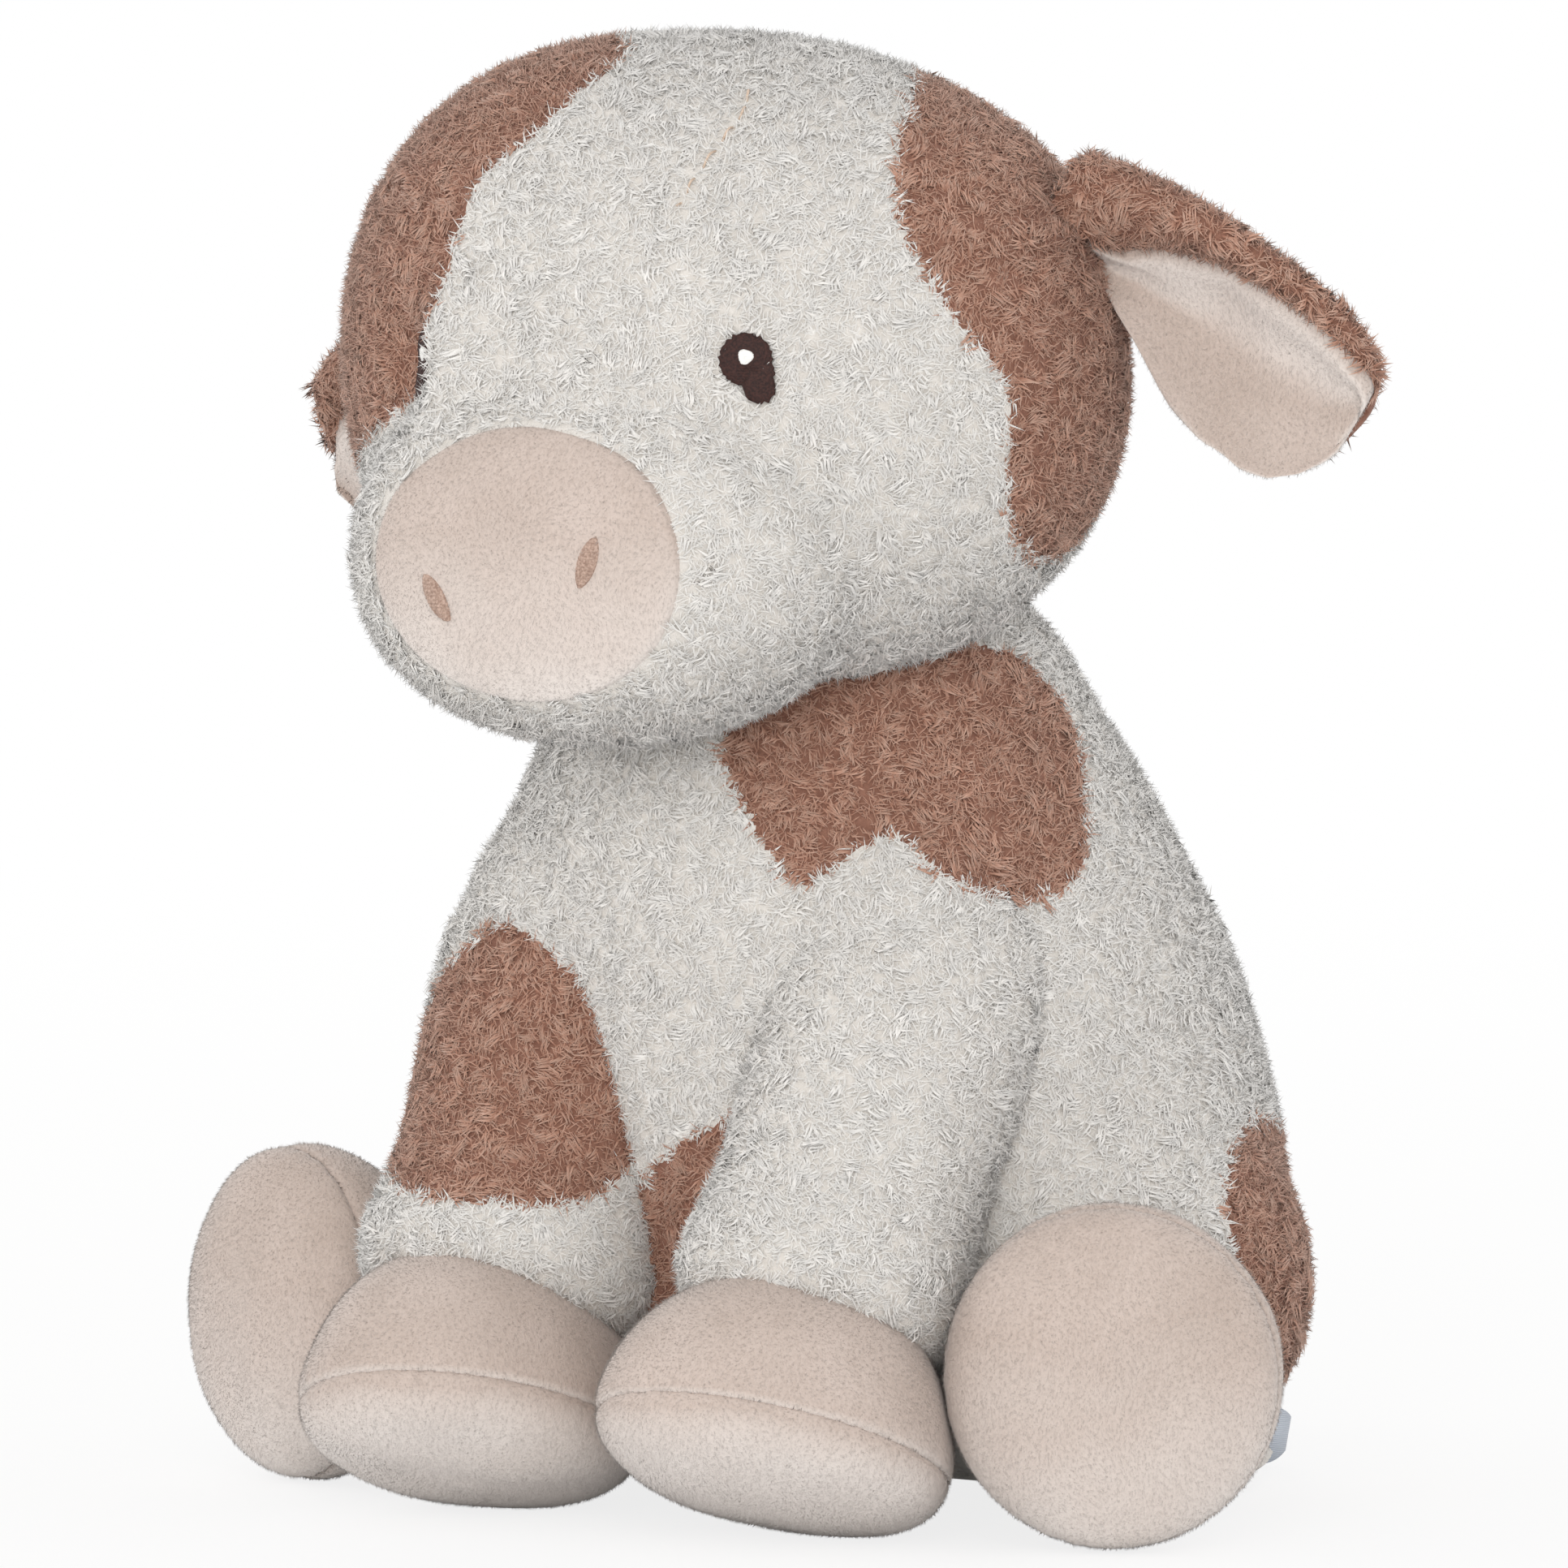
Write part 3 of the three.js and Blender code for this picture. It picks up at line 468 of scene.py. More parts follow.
def body_form():
    rows = [
        (0, 0), (0.003, 0.74), (0.035, 0.88), (0.09, 0.945),
        (0.2, 0.985, 0.02), (0.343, 0.992, 0.07), (0.51, 0.945, 0.31),
        (0.6, 0.903, 0.5), (0.68, 0.845, 0.73), (0.77, 0.757, 0.86),
        (0.86, 0.645, 0.98), (0.925, 0.56, 1), (0.97, 0.43, 1), (1, 0, 1),
    ]
    return Form((0, 33, -0.5), (0, 33, 207.5), (1, 0, 0), 91, 87, rows, shift=-26)


HEAD_MIDDLE = np.array([0, -29, 253.0])
ROLL = math.radians(-3.5)
HEAD_TURN = np.array([
    [math.cos(ROLL), 0, math.sin(ROLL)], [0, 1, 0], [-math.sin(ROLL), 0, math.cos(ROLL)]])


def on_head(points):
    return np.asarray(points, float) @ HEAD_TURN.T + HEAD_MIDDLE


def skull_form():
    rows = [
        (0, 0), (0.015, 0.25), (0.06, 0.48), (0.14, 0.7),
        (0.25, 0.87), (0.37, 0.97), (0.5, 1), (0.63, 0.965),
        (0.75, 0.86), (0.86, 0.68), (0.95, 0.42), (1, 0),
    ]
    side = HEAD_TURN @ np.array([-1.0, 0, 0])
    return Form(on_head([0, -69, 0]), on_head([0, 71, 0]), side, 92, 71, rows, fullness=2.25)


def snout_form():
    rows = [
        (0, 0), (0.02, 0.36, 0, 0.34), (0.055, 0.58, 0, 0.56), (0.12, 0.78, 0, 0.76),
        (0.22, 0.92, 0, 0.91), (0.36, 1), (0.6, 1), (0.85, 0.8), (1, 0),
    ]
    side = HEAD_TURN @ np.array([-1.0, 0, 0])
    return Form(on_head([-5, -84, -38]), on_head([-4, 0, -38]), side, 59, 41, rows, fullness=2.1)


LEG_ROWS = [
    (0, 0), (0.05, 0.5), (0.13, 0.8), (0.26, 0.98), (0.45, 1),
    (0.7, 0.96), (0.93, 0.9), (0.97, 0.6), (1, 0),
]
HOOF_ROWS = [
    (0, 0), (0.03, 0.49), (0.08, 0.76), (0.16, 0.93), (0.28, 1),
    (0.44, 0.975), (0.6, 0.895), (0.75, 0.755), (0.88, 0.54),
    (0.96, 0.33), (1, 0),
]
FOOT_ROWS = [
    (0, 0), (0.03, 0.41), (0.09, 0.66), (0.19, 0.87),
    (0.38, 1), (0.55, 0.98), (0.7, 0.89), (0.84, 0.72),
    (0.94, 0.46), (1, 0),
]


def hoof_form(sign):
    tilt, turn = math.radians(23), math.radians(13 - 8 * sign)
    lean = math.sin(tilt)
    rise = np.array([-lean * math.sin(turn), lean * math.cos(turn), math.cos(tilt)])
    seam = np.array([sign * 40 + 2.5, -77, 0.0])
    sole, upper = 15, 39
    form = Form(seam - sole * rise, seam + upper * rise, (1, 0, 0), 37.6 + sign, 42, HOOF_ROWS)
    form.start[2] += -0.5 - form.shell()[0][:, 2].min()
    form.seam_share = sole / (sole + upper)
    return form


def front_leg_form(sign):
    shoulder = np.array([sign * 43 + 1.2, -20, 126.0])
    ankle = np.array([sign * 41 + 2.2, -63, 47.0])
    down = unit(ankle - shoulder)
    wide, deep = 31.5 - 1.5 * sign, 31
    form = Form(shoulder - 28 * down, ankle + 11.2 * down, (1, 0, 0), wide, deep, LEG_ROWS)
    form.pivot, form.down = shoulder, down
    return form


def foot_form(sign):
    turn = math.radians(sign * 26)
    facing = np.array([math.sin(turn), -math.cos(turn), 0])
    seam = np.array([sign * 108.5 - 0.6, -43, 38.0])
    sole, upper = 19, 31
    form = Form(seam + sole * facing, seam - upper * facing, UP, 37.5, 36.9, FOOT_ROWS)
    form.seam_share = sole / (sole + upper)
    form.ankle = seam - 17 * facing
    return form


def hind_leg_form(sign, foot):
    hip = np.array([sign * 60, 26, 42.0])
    down = unit(foot.ankle - hip)
    form = Form(hip - 24 * down, foot.ankle, UP, 26.5, 26.5, LEG_ROWS)
    form.pivot, form.down = hip, down
    return form


BODY, SKULL, SNOUT = body_form(), skull_form(), snout_form()
HOOVES = {side: hoof_form(sign) for side, sign in SIDES.items()}
FRONT_LEGS = {side: front_leg_form(sign) for side, sign in SIDES.items()}
FEET = {side: foot_form(sign) for side, sign in SIDES.items()}
HIND_LEGS = {side: hind_leg_form(sign, FEET[side]) for side, sign in SIDES.items()}


# Patches, as outlines of directions in degrees: round from the front, then up

PATCHES = {
    "head_patch_right": [
        (-22, 68), (-16, 48), (-25, 34), (-26, 20), (-28, 6), (-36, -4),
        (-64, -14), (-84, -14), (-106, -6), (-126, 12), (-130, 40), (-92, 68)],
    "head_patch_left": [
        (92, 54), (70, 42), (62, 27), (64, 17), (68, 9), (75, 0), (77, -15),
        (84, -24), (98, -27), (114, -14), (128, 8), (128, 36), (112, 56)],
    "shoulder_patch": [
        (9, 46), (16, 34), (25, 26), (33, 30), (40, 32), (47, 26), (56, 23),
        (67, 24), (74, 29), (79, 38), (84, 50), (72, 58), (40, 56), (20, 54)],
    "hip_patch_left": [
        (86, -24), (92, -15), (106, -12), (126, -14),
        (138, -24), (136, -38), (114, -45), (92, -44)],
    "belly_patch": [
        (-14, -34), (-7, -23), (6, -13), (22, -9), (38, -14),
        (50, -30), (46, -43), (20, -44), (-6, -42)],
    "knee_patch": [
        (-15, 66), (27, 57), (50, 38), (61, 8), (62, -18), (48, -27),
        (18, -25), (-20, -24), (-56, -22), (-72, -4), (-66, 24), (-50, 50)],
}


def rounded_outline(corners, steps=8):
    corners = np.array(corners, float)
    before, after, beyond = (np.roll(corners, shift, 0) for shift in (1, -1, -2))
    path = []
    for share in np.arange(steps) / steps:
        path.append(0.5 * (
            2 * corners + (after - before) * share
            + (2 * before - 5 * corners + 4 * after - beyond) * share ** 2
            + (3 * corners - before - 3 * after + beyond) * share ** 3))
    return np.stack(path, 1).reshape(-1, 2)


def in_patch(points, middle, patch):
    off = points - middle
    around = np.degrees(np.arctan2(off[:, 0], -off[:, 1]))
    up = np.degrees(np.arctan2(off[:, 2], np.hypot(off[:, 0], off[:, 1])))
    outline = rounded_outline(PATCHES[patch])
    inside = np.zeros(len(points), bool)
    for (x1, y1), (x2, y2) in zip(outline, np.roll(outline, -1, 0)):
        if y1 != y2:
            spans = (y1 > up) != (y2 > up)
            inside ^= spans & (around < (x2 - x1) * (up - y1) / (y2 - y1) + x1)
    return inside


BODY_MIDDLE = np.array([0, 20, 104.0])
KNEE_MIDDLE = FRONT_LEGS["right"].start + FRONT_LEGS["right"].spine / 2


# Meshes

def mesh_piece(name, points, faces, materials, body, which=None, uv=None, shading=None):
    """A piece from points in millimetres, made to ride on its body.

    Pile is shaded with normals of its own, because light passes through it."""
    mesh = bpy.data.meshes.new(name)
    corners = faces.shape[1]
    mesh.vertices.add(len(points))
    mesh.vertices.foreach_set("co", (points * MM + OFFSET).astype(np.float32).ravel())
    mesh.loops.add(faces.size)
    mesh.loops.foreach_set("vertex_index", faces.astype(np.int32).ravel())
    mesh.polygons.add(len(faces))
    mesh.polygons.foreach_set("loop_start", np.arange(0, faces.size, corners, dtype=np.int32))
    for material in materials:
        mesh.materials.append(material)
    if which is not None:
        mesh.polygons.foreach_set("material_index", which.astype(np.int32))
    mesh.polygons.foreach_set("use_smooth", np.full(len(faces), True))
    if uv is not None:
        layer = mesh.uv_layers.new(name="OFBake")
        layer.data.foreach_set("uv", uv[faces.ravel()].astype(np.float32).ravel())
    mesh.update(calc_edges=True)
    mesh.validate()
    if shading is not None:
        mesh.normals_split_custom_set_from_vertices(shading)
    piece = placed(name, mesh)
    carry(piece, body)
    return piece


def carry(piece, body):
    """A body's name, to which the piece is attached. A piece that crosses a joint gets the joint's
    two bodies and ends instead, and only has its place fixed in its mesh.
    """
    if isinstance(body, str):
        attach(piece, body)
    else:
        first, second, start, end = body
        tuple(start * MM + OFFSET)
        tuple(end * MM + OFFSET)
        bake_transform(piece)


def stand_in(node, name, points, faces, materials, body, which=None):
    """A piece in the place of a CAD node."""
    piece = mesh_piece(name, points, faces, materials, body, which)
    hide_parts(node)


def cad_corners(node):
    """A CAD node's lowest and highest corners, in millimetres about the drawing origin."""
    return [(np.array(corner) - OFFSET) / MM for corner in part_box(node)]


def sewn(shells, voxel, rounds):
    """Joins closed surfaces into one and rounds off where they meet."""
    count, points, faces = 0, [], []
    for shell_points, shell_faces in shells:
        points.append(shell_points)
        faces.append(shell_faces + count)
        count += len(shell_points)
    mesh = bpy.data.meshes.new("draft")
    mesh.from_pydata(np.concatenate(points).tolist(), [], np.concatenate(faces).tolist())
    draft = placed("draft", mesh)
    remesh = draft.modifiers.new("remesh", "REMESH")
    remesh.mode = "VOXEL"
    remesh.voxel_size = voxel
    smooth = draft.modifiers.new("smooth", "SMOOTH")
    smooth.iterations = rounds
    smooth.factor = 0.6
    shaped = draft.evaluated_get(bpy.context.evaluated_depsgraph_get())
    result = shaped.to_mesh()
    result.calc_loop_triangles()
    out = np.empty(len(result.vertices) * 3)
    result.vertices.foreach_get("co", out)
    triangles = np.empty(len(result.loop_triangles) * 3, np.int32)
    result.loop_triangles.foreach_get("vertices", triangles)
    shaped.to_mesh_clear()
    bpy.data.objects.remove(draft)
    bpy.data.meshes.remove(mesh)
    return out.reshape(-1, 3), triangles.reshape(-1, 3)


def seeds_on(points, faces, seed, density=WISPS_PER_MM2):
    """Places on a surface, spread evenly over its area, with their normals."""
    random = np.random.default_rng(seed)
    corners = points[faces]
    areas = np.linalg.norm(face_crosses(points, faces), axis=1) / 2
    total = areas.sum()
    count = int(total * density)
    spots = (np.arange(count) + random.random(count)) * total / count
    chosen = np.searchsorted(np.cumsum(areas), spots).clip(0, len(faces) - 1)
    first, second = random.random((2, count))
    flip = first + second > 1
    first[flip], second[flip] = 1 - first[flip], 1 - second[flip]
    weights = np.stack([1 - first - second, first, second], 1)[:, :, None]
    normals = (normals_of(points, faces)[faces[chosen]] * weights).sum(1)
    return (corners[chosen] * weights).sum(1), unit(normals)


def locks(roots, random):
    """Gathers the wisps into locks: for each wisp, the number of the one that leads its lock."""
    leaders = np.sort(random.permutation(len(roots))[:max(1, len(roots) // WISPS_PER_LOCK)])
    tree = KDTree(len(leaders))
    for place, leader in enumerate(leaders):
        tree.insert(roots[leader], place)
    tree.balance()
    return leaders[[tree.find(root)[1] for root in roots]]


def wisps(roots, normals, drift, seed, length=WISP_LENGTH, radius=WISP_RADIUS, pull=0.3):
    """Curved tapering wisps that stand up, bend over and draw together into locks.

    It gives their points, the faces of one, their map and their normals for shading."""
    random = np.random.default_rng(seed)
    count = len(roots)
    lead = locks(roots, random)
    tangent = random.normal(size=(count, 3))[lead] + pull * 2.2 * np.asarray(drift, float)
    tangent += random.normal(size=(count, 3)) * 0.22
    tangent = unit(tangent - (tangent * normals).sum(1, keepdims=True) * normals)
    sideways = np.cross(normals, tangent)
    steps, sides = 2, 3
    reach = length * random.uniform(0.65, 1.2, count)[lead] * random.uniform(0.8, 1.1, count)
    bend = (random.choice([-1, 1], count) * random.uniform(0.2, 2.1, count))[lead]
    lift = random.uniform(0.35, 0.95, count)[lead] + random.normal(size=count) * 0.12
    fall = random.uniform(-0.5, 0.15, count)[lead]
    thick = radius * random.uniform(0.7, 1.3, count)
    shade = np.clip(0.5 + 0.22 * lumps(roots, 26, seed) + 0.2 * random.normal(size=count)[lead]
                    + 0.12 * random.normal(size=count), 0, 1) * 0.9
    inward = (roots[lead] - roots) * 0.35
    nod = (random.normal(size=(count, 3)) * 0.08)[lead]
    spot = roots - 0.8 * normals
    path, headings = [spot], []
    for step in range(steps):
        share = (step + 0.5) / steps
        turn, slope = bend * share, lift * (1 - share) + fall * share
        flat = np.cos(turn)[:, None] * tangent + np.sin(turn)[:, None] * sideways
        heading = np.cos(slope)[:, None] * flat + np.sin(slope)[:, None] * normals
        headings.append(heading)
        spot = spot + heading * (reach / steps)[:, None] + inward / steps
        path.append(spot)
    points, places, shading = [], [], []
    for step, width in zip(range(steps), (0.85, 1.0)):
        aside = unit(np.cross(headings[step], normals + 0.3 * sideways))
        over = np.cross(headings[step], aside)
        for side in range(sides):
            angle = 2 * math.pi * side / sides + 0.5
            offset = math.cos(angle) * aside + 0.6 * math.sin(angle) * over
            points.append(path[step] + offset * (thick * width)[:, None])
            places.append(np.stack([shade + 0.05 * side, np.full(count, step / steps)], 1))
            shading.append(0.75 * normals + nod + 0.5 * offset)
    points.append(path[-1])
    places.append(np.stack([shade + 0.05, np.ones(count)], 1))
    shading.append(0.75 * normals + nod + 0.5 * headings[-1])
    each = steps * sides + 1
    points = np.stack(points, 1)
    lowest = WISP_OFF_GROUND + 0.2 * random.random((count, 1))
    points[:, :, 2] = np.maximum(points[:, :, 2], lowest)
    faces = [(0, 2, 1)]
    for step in range(steps - 1):
        for side in range(sides):
            here, turn = step * sides + side, step * sides + (side + 1) % sides
            faces += [(here, turn, turn + sides), (here, turn + sides, here + sides)]
    last = (steps - 1) * sides
    faces += [(last + side, last + (side + 1) % sides, each - 1) for side in range(sides)]
    return points, np.array(faces), np.stack(places, 1), unit(np.stack(shading, 1))


def grow(name, roots, normals, drift, pile, body, seed, **shape):
    """Covers a piece in wisps that drift the given way, with shorter fuzz between them."""
    finish, _, slot = pile
    strands = wisps(roots, normals, drift, seed, **shape)
    pieces = strand_pieces(name, roots, strands, WISPS_PER_PIECE, finish, body)
    random = np.random.default_rng(seed + 3)
    beside = random.integers(0, len(roots), int(len(roots) * FUZZ[0] / WISPS_PER_MM2))
    spots, facing = roots[beside], normals[beside]
    off = random.normal(size=spots.shape) * 0.6
    spots = spots + off - (off * facing).sum(1, keepdims=True) * facing
    strands = fibres(spots, facing, seed + 4, FUZZ, random.normal(size=spots.shape), (0.3, 0.9))
    strand_pieces(f"{name}_fuzz", spots, strands, FIBRES_PER_PIECE, finish, body)
    return pieces


def strand_pieces(name, roots, strands, most, finish, body):
    """Makes strands into as many pieces as their number asks for, from the lowest up."""
    points, faces, places, shading = strands
    pieces = []
    parts = max(1, math.ceil(len(roots) / most))
    for part, chosen in enumerate(np.array_split(np.argsort(roots[:, 2], kind="stable"), parts)):
        label = name if parts == 1 else f"{name}_{part + 1}"
        numbers = faces[None] + points.shape[1] * np.arange(len(chosen))[:, None, None]
        pieces.append(mesh_piece(
            label, points[chosen].reshape(-1, 3), numbers.reshape(-1, 3), [finish], body,
            uv=places[chosen].reshape(-1, 2), shading=shading[chosen].reshape(-1, 3)))
    return pieces


def fibres(roots, normals, seed, size, comb, rise):
    """Short spikes that lie the way they are combed."""
    random = np.random.default_rng(seed)
    count = len(roots)
    comb = comb + random.normal(size=(count, 3)) * 0.5
    comb = unit(comb - (comb * normals).sum(1, keepdims=True) * normals)
    rise = random.uniform(*rise, count)[:, None]
    heading = comb * np.cos(rise) + normals * np.sin(rise)
    aside = np.cross(comb, normals)
    width = (size[2] * random.uniform(0.7, 1.3, count))[:, None]
    foot = roots - 0.15 * normals
    tip = foot + heading * (size[1] * random.uniform(0.6, 1.15, count))[:, None]
    shade = 0.5 + 0.25 * lumps(roots, 18, seed) + 0.2 * random.normal(size=count)
    shade = np.clip(shade, 0, 1) * 0.9
    corners = [foot - aside * width, foot + aside * width, foot + comb * width * 1.5, tip]
    spikes = np.stack(corners, 1)
    spikes[:, :, 2] = np.maximum(spikes[:, :, 2], 0.15 + 0.05 * np.arange(4))
    faces = np.array([(0, 2, 1), (0, 1, 3), (1, 2, 3), (2, 0, 3)])
    heights = np.broadcast_to((0.1, 0.2, 0.3, 0.9), (count, 4))
    places = np.stack([shade[:, None] + (0.0, 0.05, 0.1, 0.05), heights], -1)
    turned = np.stack([-0.5 * aside, 0.5 * aside, 0.3 * comb, 0.2 * normals], 1)
    return spikes, faces, places, unit(0.8 * normals[:, None] + turned)


def add_velboa(node, points, faces, body, seed, keep, fill=None):
    """Velboa and its nap, the short fibres that make it silky, combed mostly downwards."""
    roots, normals = seeds_on(points, faces, seed, NAP[0])
    kept = keep(roots, normals)
    roots, normals = roots[kept], normals[kept]
    comb = (0, -0.2, -1) + 0.8 * np.stack([lumps(roots, 24, seed + axis) for axis in range(3)], 1)
    strands = fibres(roots, normals, seed, NAP, comb, (0.35, 0.9))
    strand_pieces(f"{node}_nap", roots, strands, FIBRES_PER_PIECE, VELBOA_NAP, body)
    stand_in(node, f"{node}_velboa", points, faces, [VELBOA], body)


def dress(name, points, faces, fur, middle, patches, seed, body):
    """A skin's cloth and its fur, brown inside the patches, each with its seed, and else white."""
    brown, rest = np.zeros(len(faces), bool), np.ones(len(fur[0]), bool)
    for patch, patch_seed in patches.items():
        brown |= in_patch(points[faces].mean(1), middle, patch)
        inside = in_patch(fur[0], middle, patch)
        rest &= ~inside
        patch_fur = [part[inside] for part in fur]
        pieces = grow(f"{patch}_curls", *patch_fur, BROWN_PILE, body, patch_seed)
        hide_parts(patch)
    grow(f"{name}_curls", *(part[rest] for part in fur), WHITE_PILE, body, seed)
    backings = [WHITE_BACKING_PAINTED_SHADE, BROWN_BACKING_PAINTED_SHADE]
    stand_in(
        f"{name}_skin", f"{name}_cloth", points, faces, backings, body, brown)


def add_filling(name, points, faces, body):
    """The fibre inside a skin, a little in from it."""
    inner = points - FILLING_INSET * normals_of(points, faces)
    inner[:, 2] = np.maximum(inner[:, 2], FILLING_OFF_GROUND)
    stand_in(name, f"{name}_fibre", inner, faces, [FIBRE], body)


def on_seam(middle, path, level):
    """The points of a seam, from its directions about a middle, where they leave a form."""
    path = np.array(path, float)
    ask = np.linspace(0, len(path) - 1, 60)
    path = np.stack([np.interp(ask, np.arange(len(path)), path[:, axis]) for axis in (0, 1)], 1)
    rays = directions(path[:, 0], path[:, 1])
    out = crossing(lambda half: level(middle + half[:, None] * rays) < 0, *NEAR_AND_FAR, len(rays))
    return middle + out[:, None] * rays


def parted(roots, seam, drift):
    """Which roots stand clear of a seam, and which way each then leans."""
    off = roots[:, None] - seam[None]
    gaps = np.linalg.norm(off, axis=2)
    nearest = gaps.argmin(1)
    gap = gaps[np.arange(len(roots)), nearest]
    away = off[np.arange(len(roots)), nearest] / np.maximum(gap, 0.01)[:, None]
    return gap > 0.8, np.asarray(drift, float) + away * (8 * np.exp(-gap / 1.8))[:, None]


def clear_of(points, forms, depth):
    """Which points lie outside the forms, or no deeper in them than this."""
    keep = np.ones(len(points), bool)
    for form in forms:
        keep &= form.level(points) > -depth
    return keep


# Torso

def ball(middle, radii, rows=24, sides=32):
    """A closed oval."""
    middle = np.array(middle, float)
    share = np.linspace(0, math.pi, rows + 1)[1:-1]
    angle = turns(sides)
    rings = np.stack([
        np.outer(np.sin(share), np.cos(angle)), np.outer(np.sin(share), np.sin(angle)),
        np.outer(np.cos(share), np.ones(sides))], -1) * radii + middle
    return lofted(rings, middle + (0, 0, radii[2]), middle - (0, 0, radii[2]))


# The seat's middle in depth and its half sizes, how far its rim and its front rise,
# and how high on the body that is felt
SEAT_MIDDLE, SEAT_HALF_WIDTH, SEAT_HALF_DEPTH = 33, 100, 87
RIM_RISE, FRONT_RISE, RISE_TOP = 8, 22, 42


def seated(points):
    """The seat rounds up all the way round, and most at the front, clear of the ground."""
    out = np.hypot(points[:, 0] / SEAT_HALF_WIDTH, (points[:, 1] - SEAT_MIDDLE) / SEAT_HALF_DEPTH)
    rim = RIM_RISE * np.clip((out - 0.6) / 0.4, 0, 1.1) ** 2
    front = FRONT_RISE * np.clip((40 - points[:, 1]) / 60, 0, 1)
    share = np.clip(1 - points[:, 2] / RISE_TOP, 0, 1)
    height = np.maximum(points[:, 2], SKIN_OFF_GROUND) + (rim + front) * share
    return np.column_stack([points[:, :2], height])


# The corner of the seat where the label comes out: its least x and y, and its height
LABEL_CORNER_X, LABEL_CORNER_Y, LABEL_CORNER_TOP = 50, 40, 14.0
SHOULDER_SEAM = [(35.7, 50), (35, 45), (34.7, 38), (34.8, 31), (34, 26)]


def add_torso():
    shoulders = [ball((sign * 41, -22, 124), (29.5, 32, 36)) for sign in SIDES.values()]
    haunches = [ball((sign * 66.5, 23, 48.5), (39, 52, 46.5)) for sign in SIDES.values()]
    points, faces = sewn([BODY.shell(), *shoulders, *haunches], voxel=2.6, rounds=22)
    points = seated(points)
    roots, normals = seeds_on(points, faces, seed=11)
    hidden = [SKULL, SNOUT, *HOOVES.values(), *FEET.values()]
    legs = [*FRONT_LEGS.values(), *HIND_LEGS.values()]
    keep = clear_of(roots, hidden, 3.0) & clear_of(roots, legs, 4.0)
    # No fur grows under the seat, nor low beside the label
    over_rim = roots[:, 2] > LABEL_CORNER_TOP
    keep &= (roots[:, 2] > 1.5) & (over_rim | (normals[:, 2] > -0.8))
    keep &= (roots[:, 0] < LABEL_CORNER_X) | (roots[:, 1] < LABEL_CORNER_Y) | over_rim
    seam = on_seam(BODY_MIDDLE, SHOULDER_SEAM, BODY.level)
    clear, drift = parted(roots, seam, (0, 0, -1))
    fur = [part[keep & clear] for part in (roots, normals, drift)]
    patches = {"shoulder_patch": 100, "hip_patch_left": 110, "belly_patch": 120}
    dress("body", points, faces, fur, BODY_MIDDLE, patches, seed=200, body="torso")
    # Low down the filling draws in toward the middle, clear of the seat's rounded rim
    middle, most, top = (0, SEAT_MIDDLE, 70), 0.11, 60
    near = most * np.clip(1 - points[:, 2:] / top, 0, 1)
    add_filling("body_filling", points + near * (middle - points), faces, "torso")
    neck_ball = ball(middle=(0, -1, 201), radii=(38, 29, 25))
    add_filling("neck_filling", *neck_ball, "neck")


# Head

FOREHEAD_SEAM = [(38.2, 55), (36.4, 49.6), (31.3, 43.7), (26.2, 37.1), (22.8, 31.1)]
# How far from the body the head starts to give way, and how much more than it presses in
SETTLE_GAP, SETTLE_SHARE = 1.5, 1.1


def add_head():
    points, faces = sewn([SKULL.shell(), SNOUT.shell()], voxel=2.4, rounds=14)
    points = points + unit(points - HEAD_MIDDLE) * swell(points)[:, None]
    # The head settles on the shoulders, so its underside takes their shape
    points[:, 2] += SETTLE_SHARE * np.maximum(SETTLE_GAP - BODY.level(points), 0)
    roots, normals = seeds_on(points, faces, seed=12)
    keep = (BODY.level(roots) > 2.2) & (muzzle_share(roots) >= 1)
    for side in SIDES:
        keep &= eye_share(roots, side) > 1.07
    seam = on_seam(HEAD_MIDDLE, FOREHEAD_SEAM, head_level)
    clear, drift = parted(roots, seam, (0, 0, -0.6))
    fur = [part[keep & clear] for part in (roots, normals, drift)]
    patches = {"head_patch_right": 300, "head_patch_left": 310}
    dress("head", points, faces, fur, HEAD_MIDDLE, patches, seed=400, body="head")
    add_filling("head_filling", points, faces, "head")
    add_seam_thread(seam)


def add_seam_thread(seam, radius=0.28, sides=6):
    """The forehead seam's thread, which shows here and there in the parting."""
    away = unit(seam - HEAD_MIDDLE)
    aside = unit(np.cross(np.gradient(seam, axis=0), away))
    height = 0.6 + 1.1 * np.sin(np.arange(len(seam)) * 0.55)
    middle = seam + away * height[:, None]
    across, over = np.cos(turns(sides))[:, None], np.sin(turns(sides))[:, None]
    rings = middle[:, None] + radius * (across * aside[:, None] + over * away[:, None])
    points, faces = lofted(rings, middle[0], middle[-1])
    mesh_piece("forehead_seam_thread", points, faces, [BEIGE_THREAD], "head")


MUZZLE_WIDE, MUZZLE_HIGH, MUZZLE_SIDE, MUZZLE_DROP = 41.5, 31.0, -4.5, -39.0


def muzzle_share(points):
    """How far out on the muzzle panel's oval the points lie: 1 is its edge."""
    local = (points - HEAD_MIDDLE) @ HEAD_TURN
    aside = (local[:, 0] - MUZZLE_SIDE) / MUZZLE_WIDE
    above = (local[:, 2] - MUZZLE_DROP) / MUZZLE_HIGH
    return np.where(local[:, 1] < -30, np.hypot(aside, above), 9.0)


# Middles in degrees round and up, and for a nostril its half sizes and its turn
FACE = {
    "left": {
        "eye": (36.4, 3.1), "eye_highlight": (35.9, 4.9),
        "nostril": (12.5, -23.5, 1.5, 3.5, -24)},
    "right": {
        "eye": (-31.0, 1.8), "eye_highlight": (-30.9, 3.6),
        "nostril": (-14.5, -28.5, 1.5, 3.5, 38)},
}
# The eye is a disc with a lash below its outer corner: middle out and up, and radius, in degrees
EYE_DISCS = [(-0.5, 1.4, 4.35), (1.5, -0.8, 2.7), (1.75, -3.2, 2.6)]


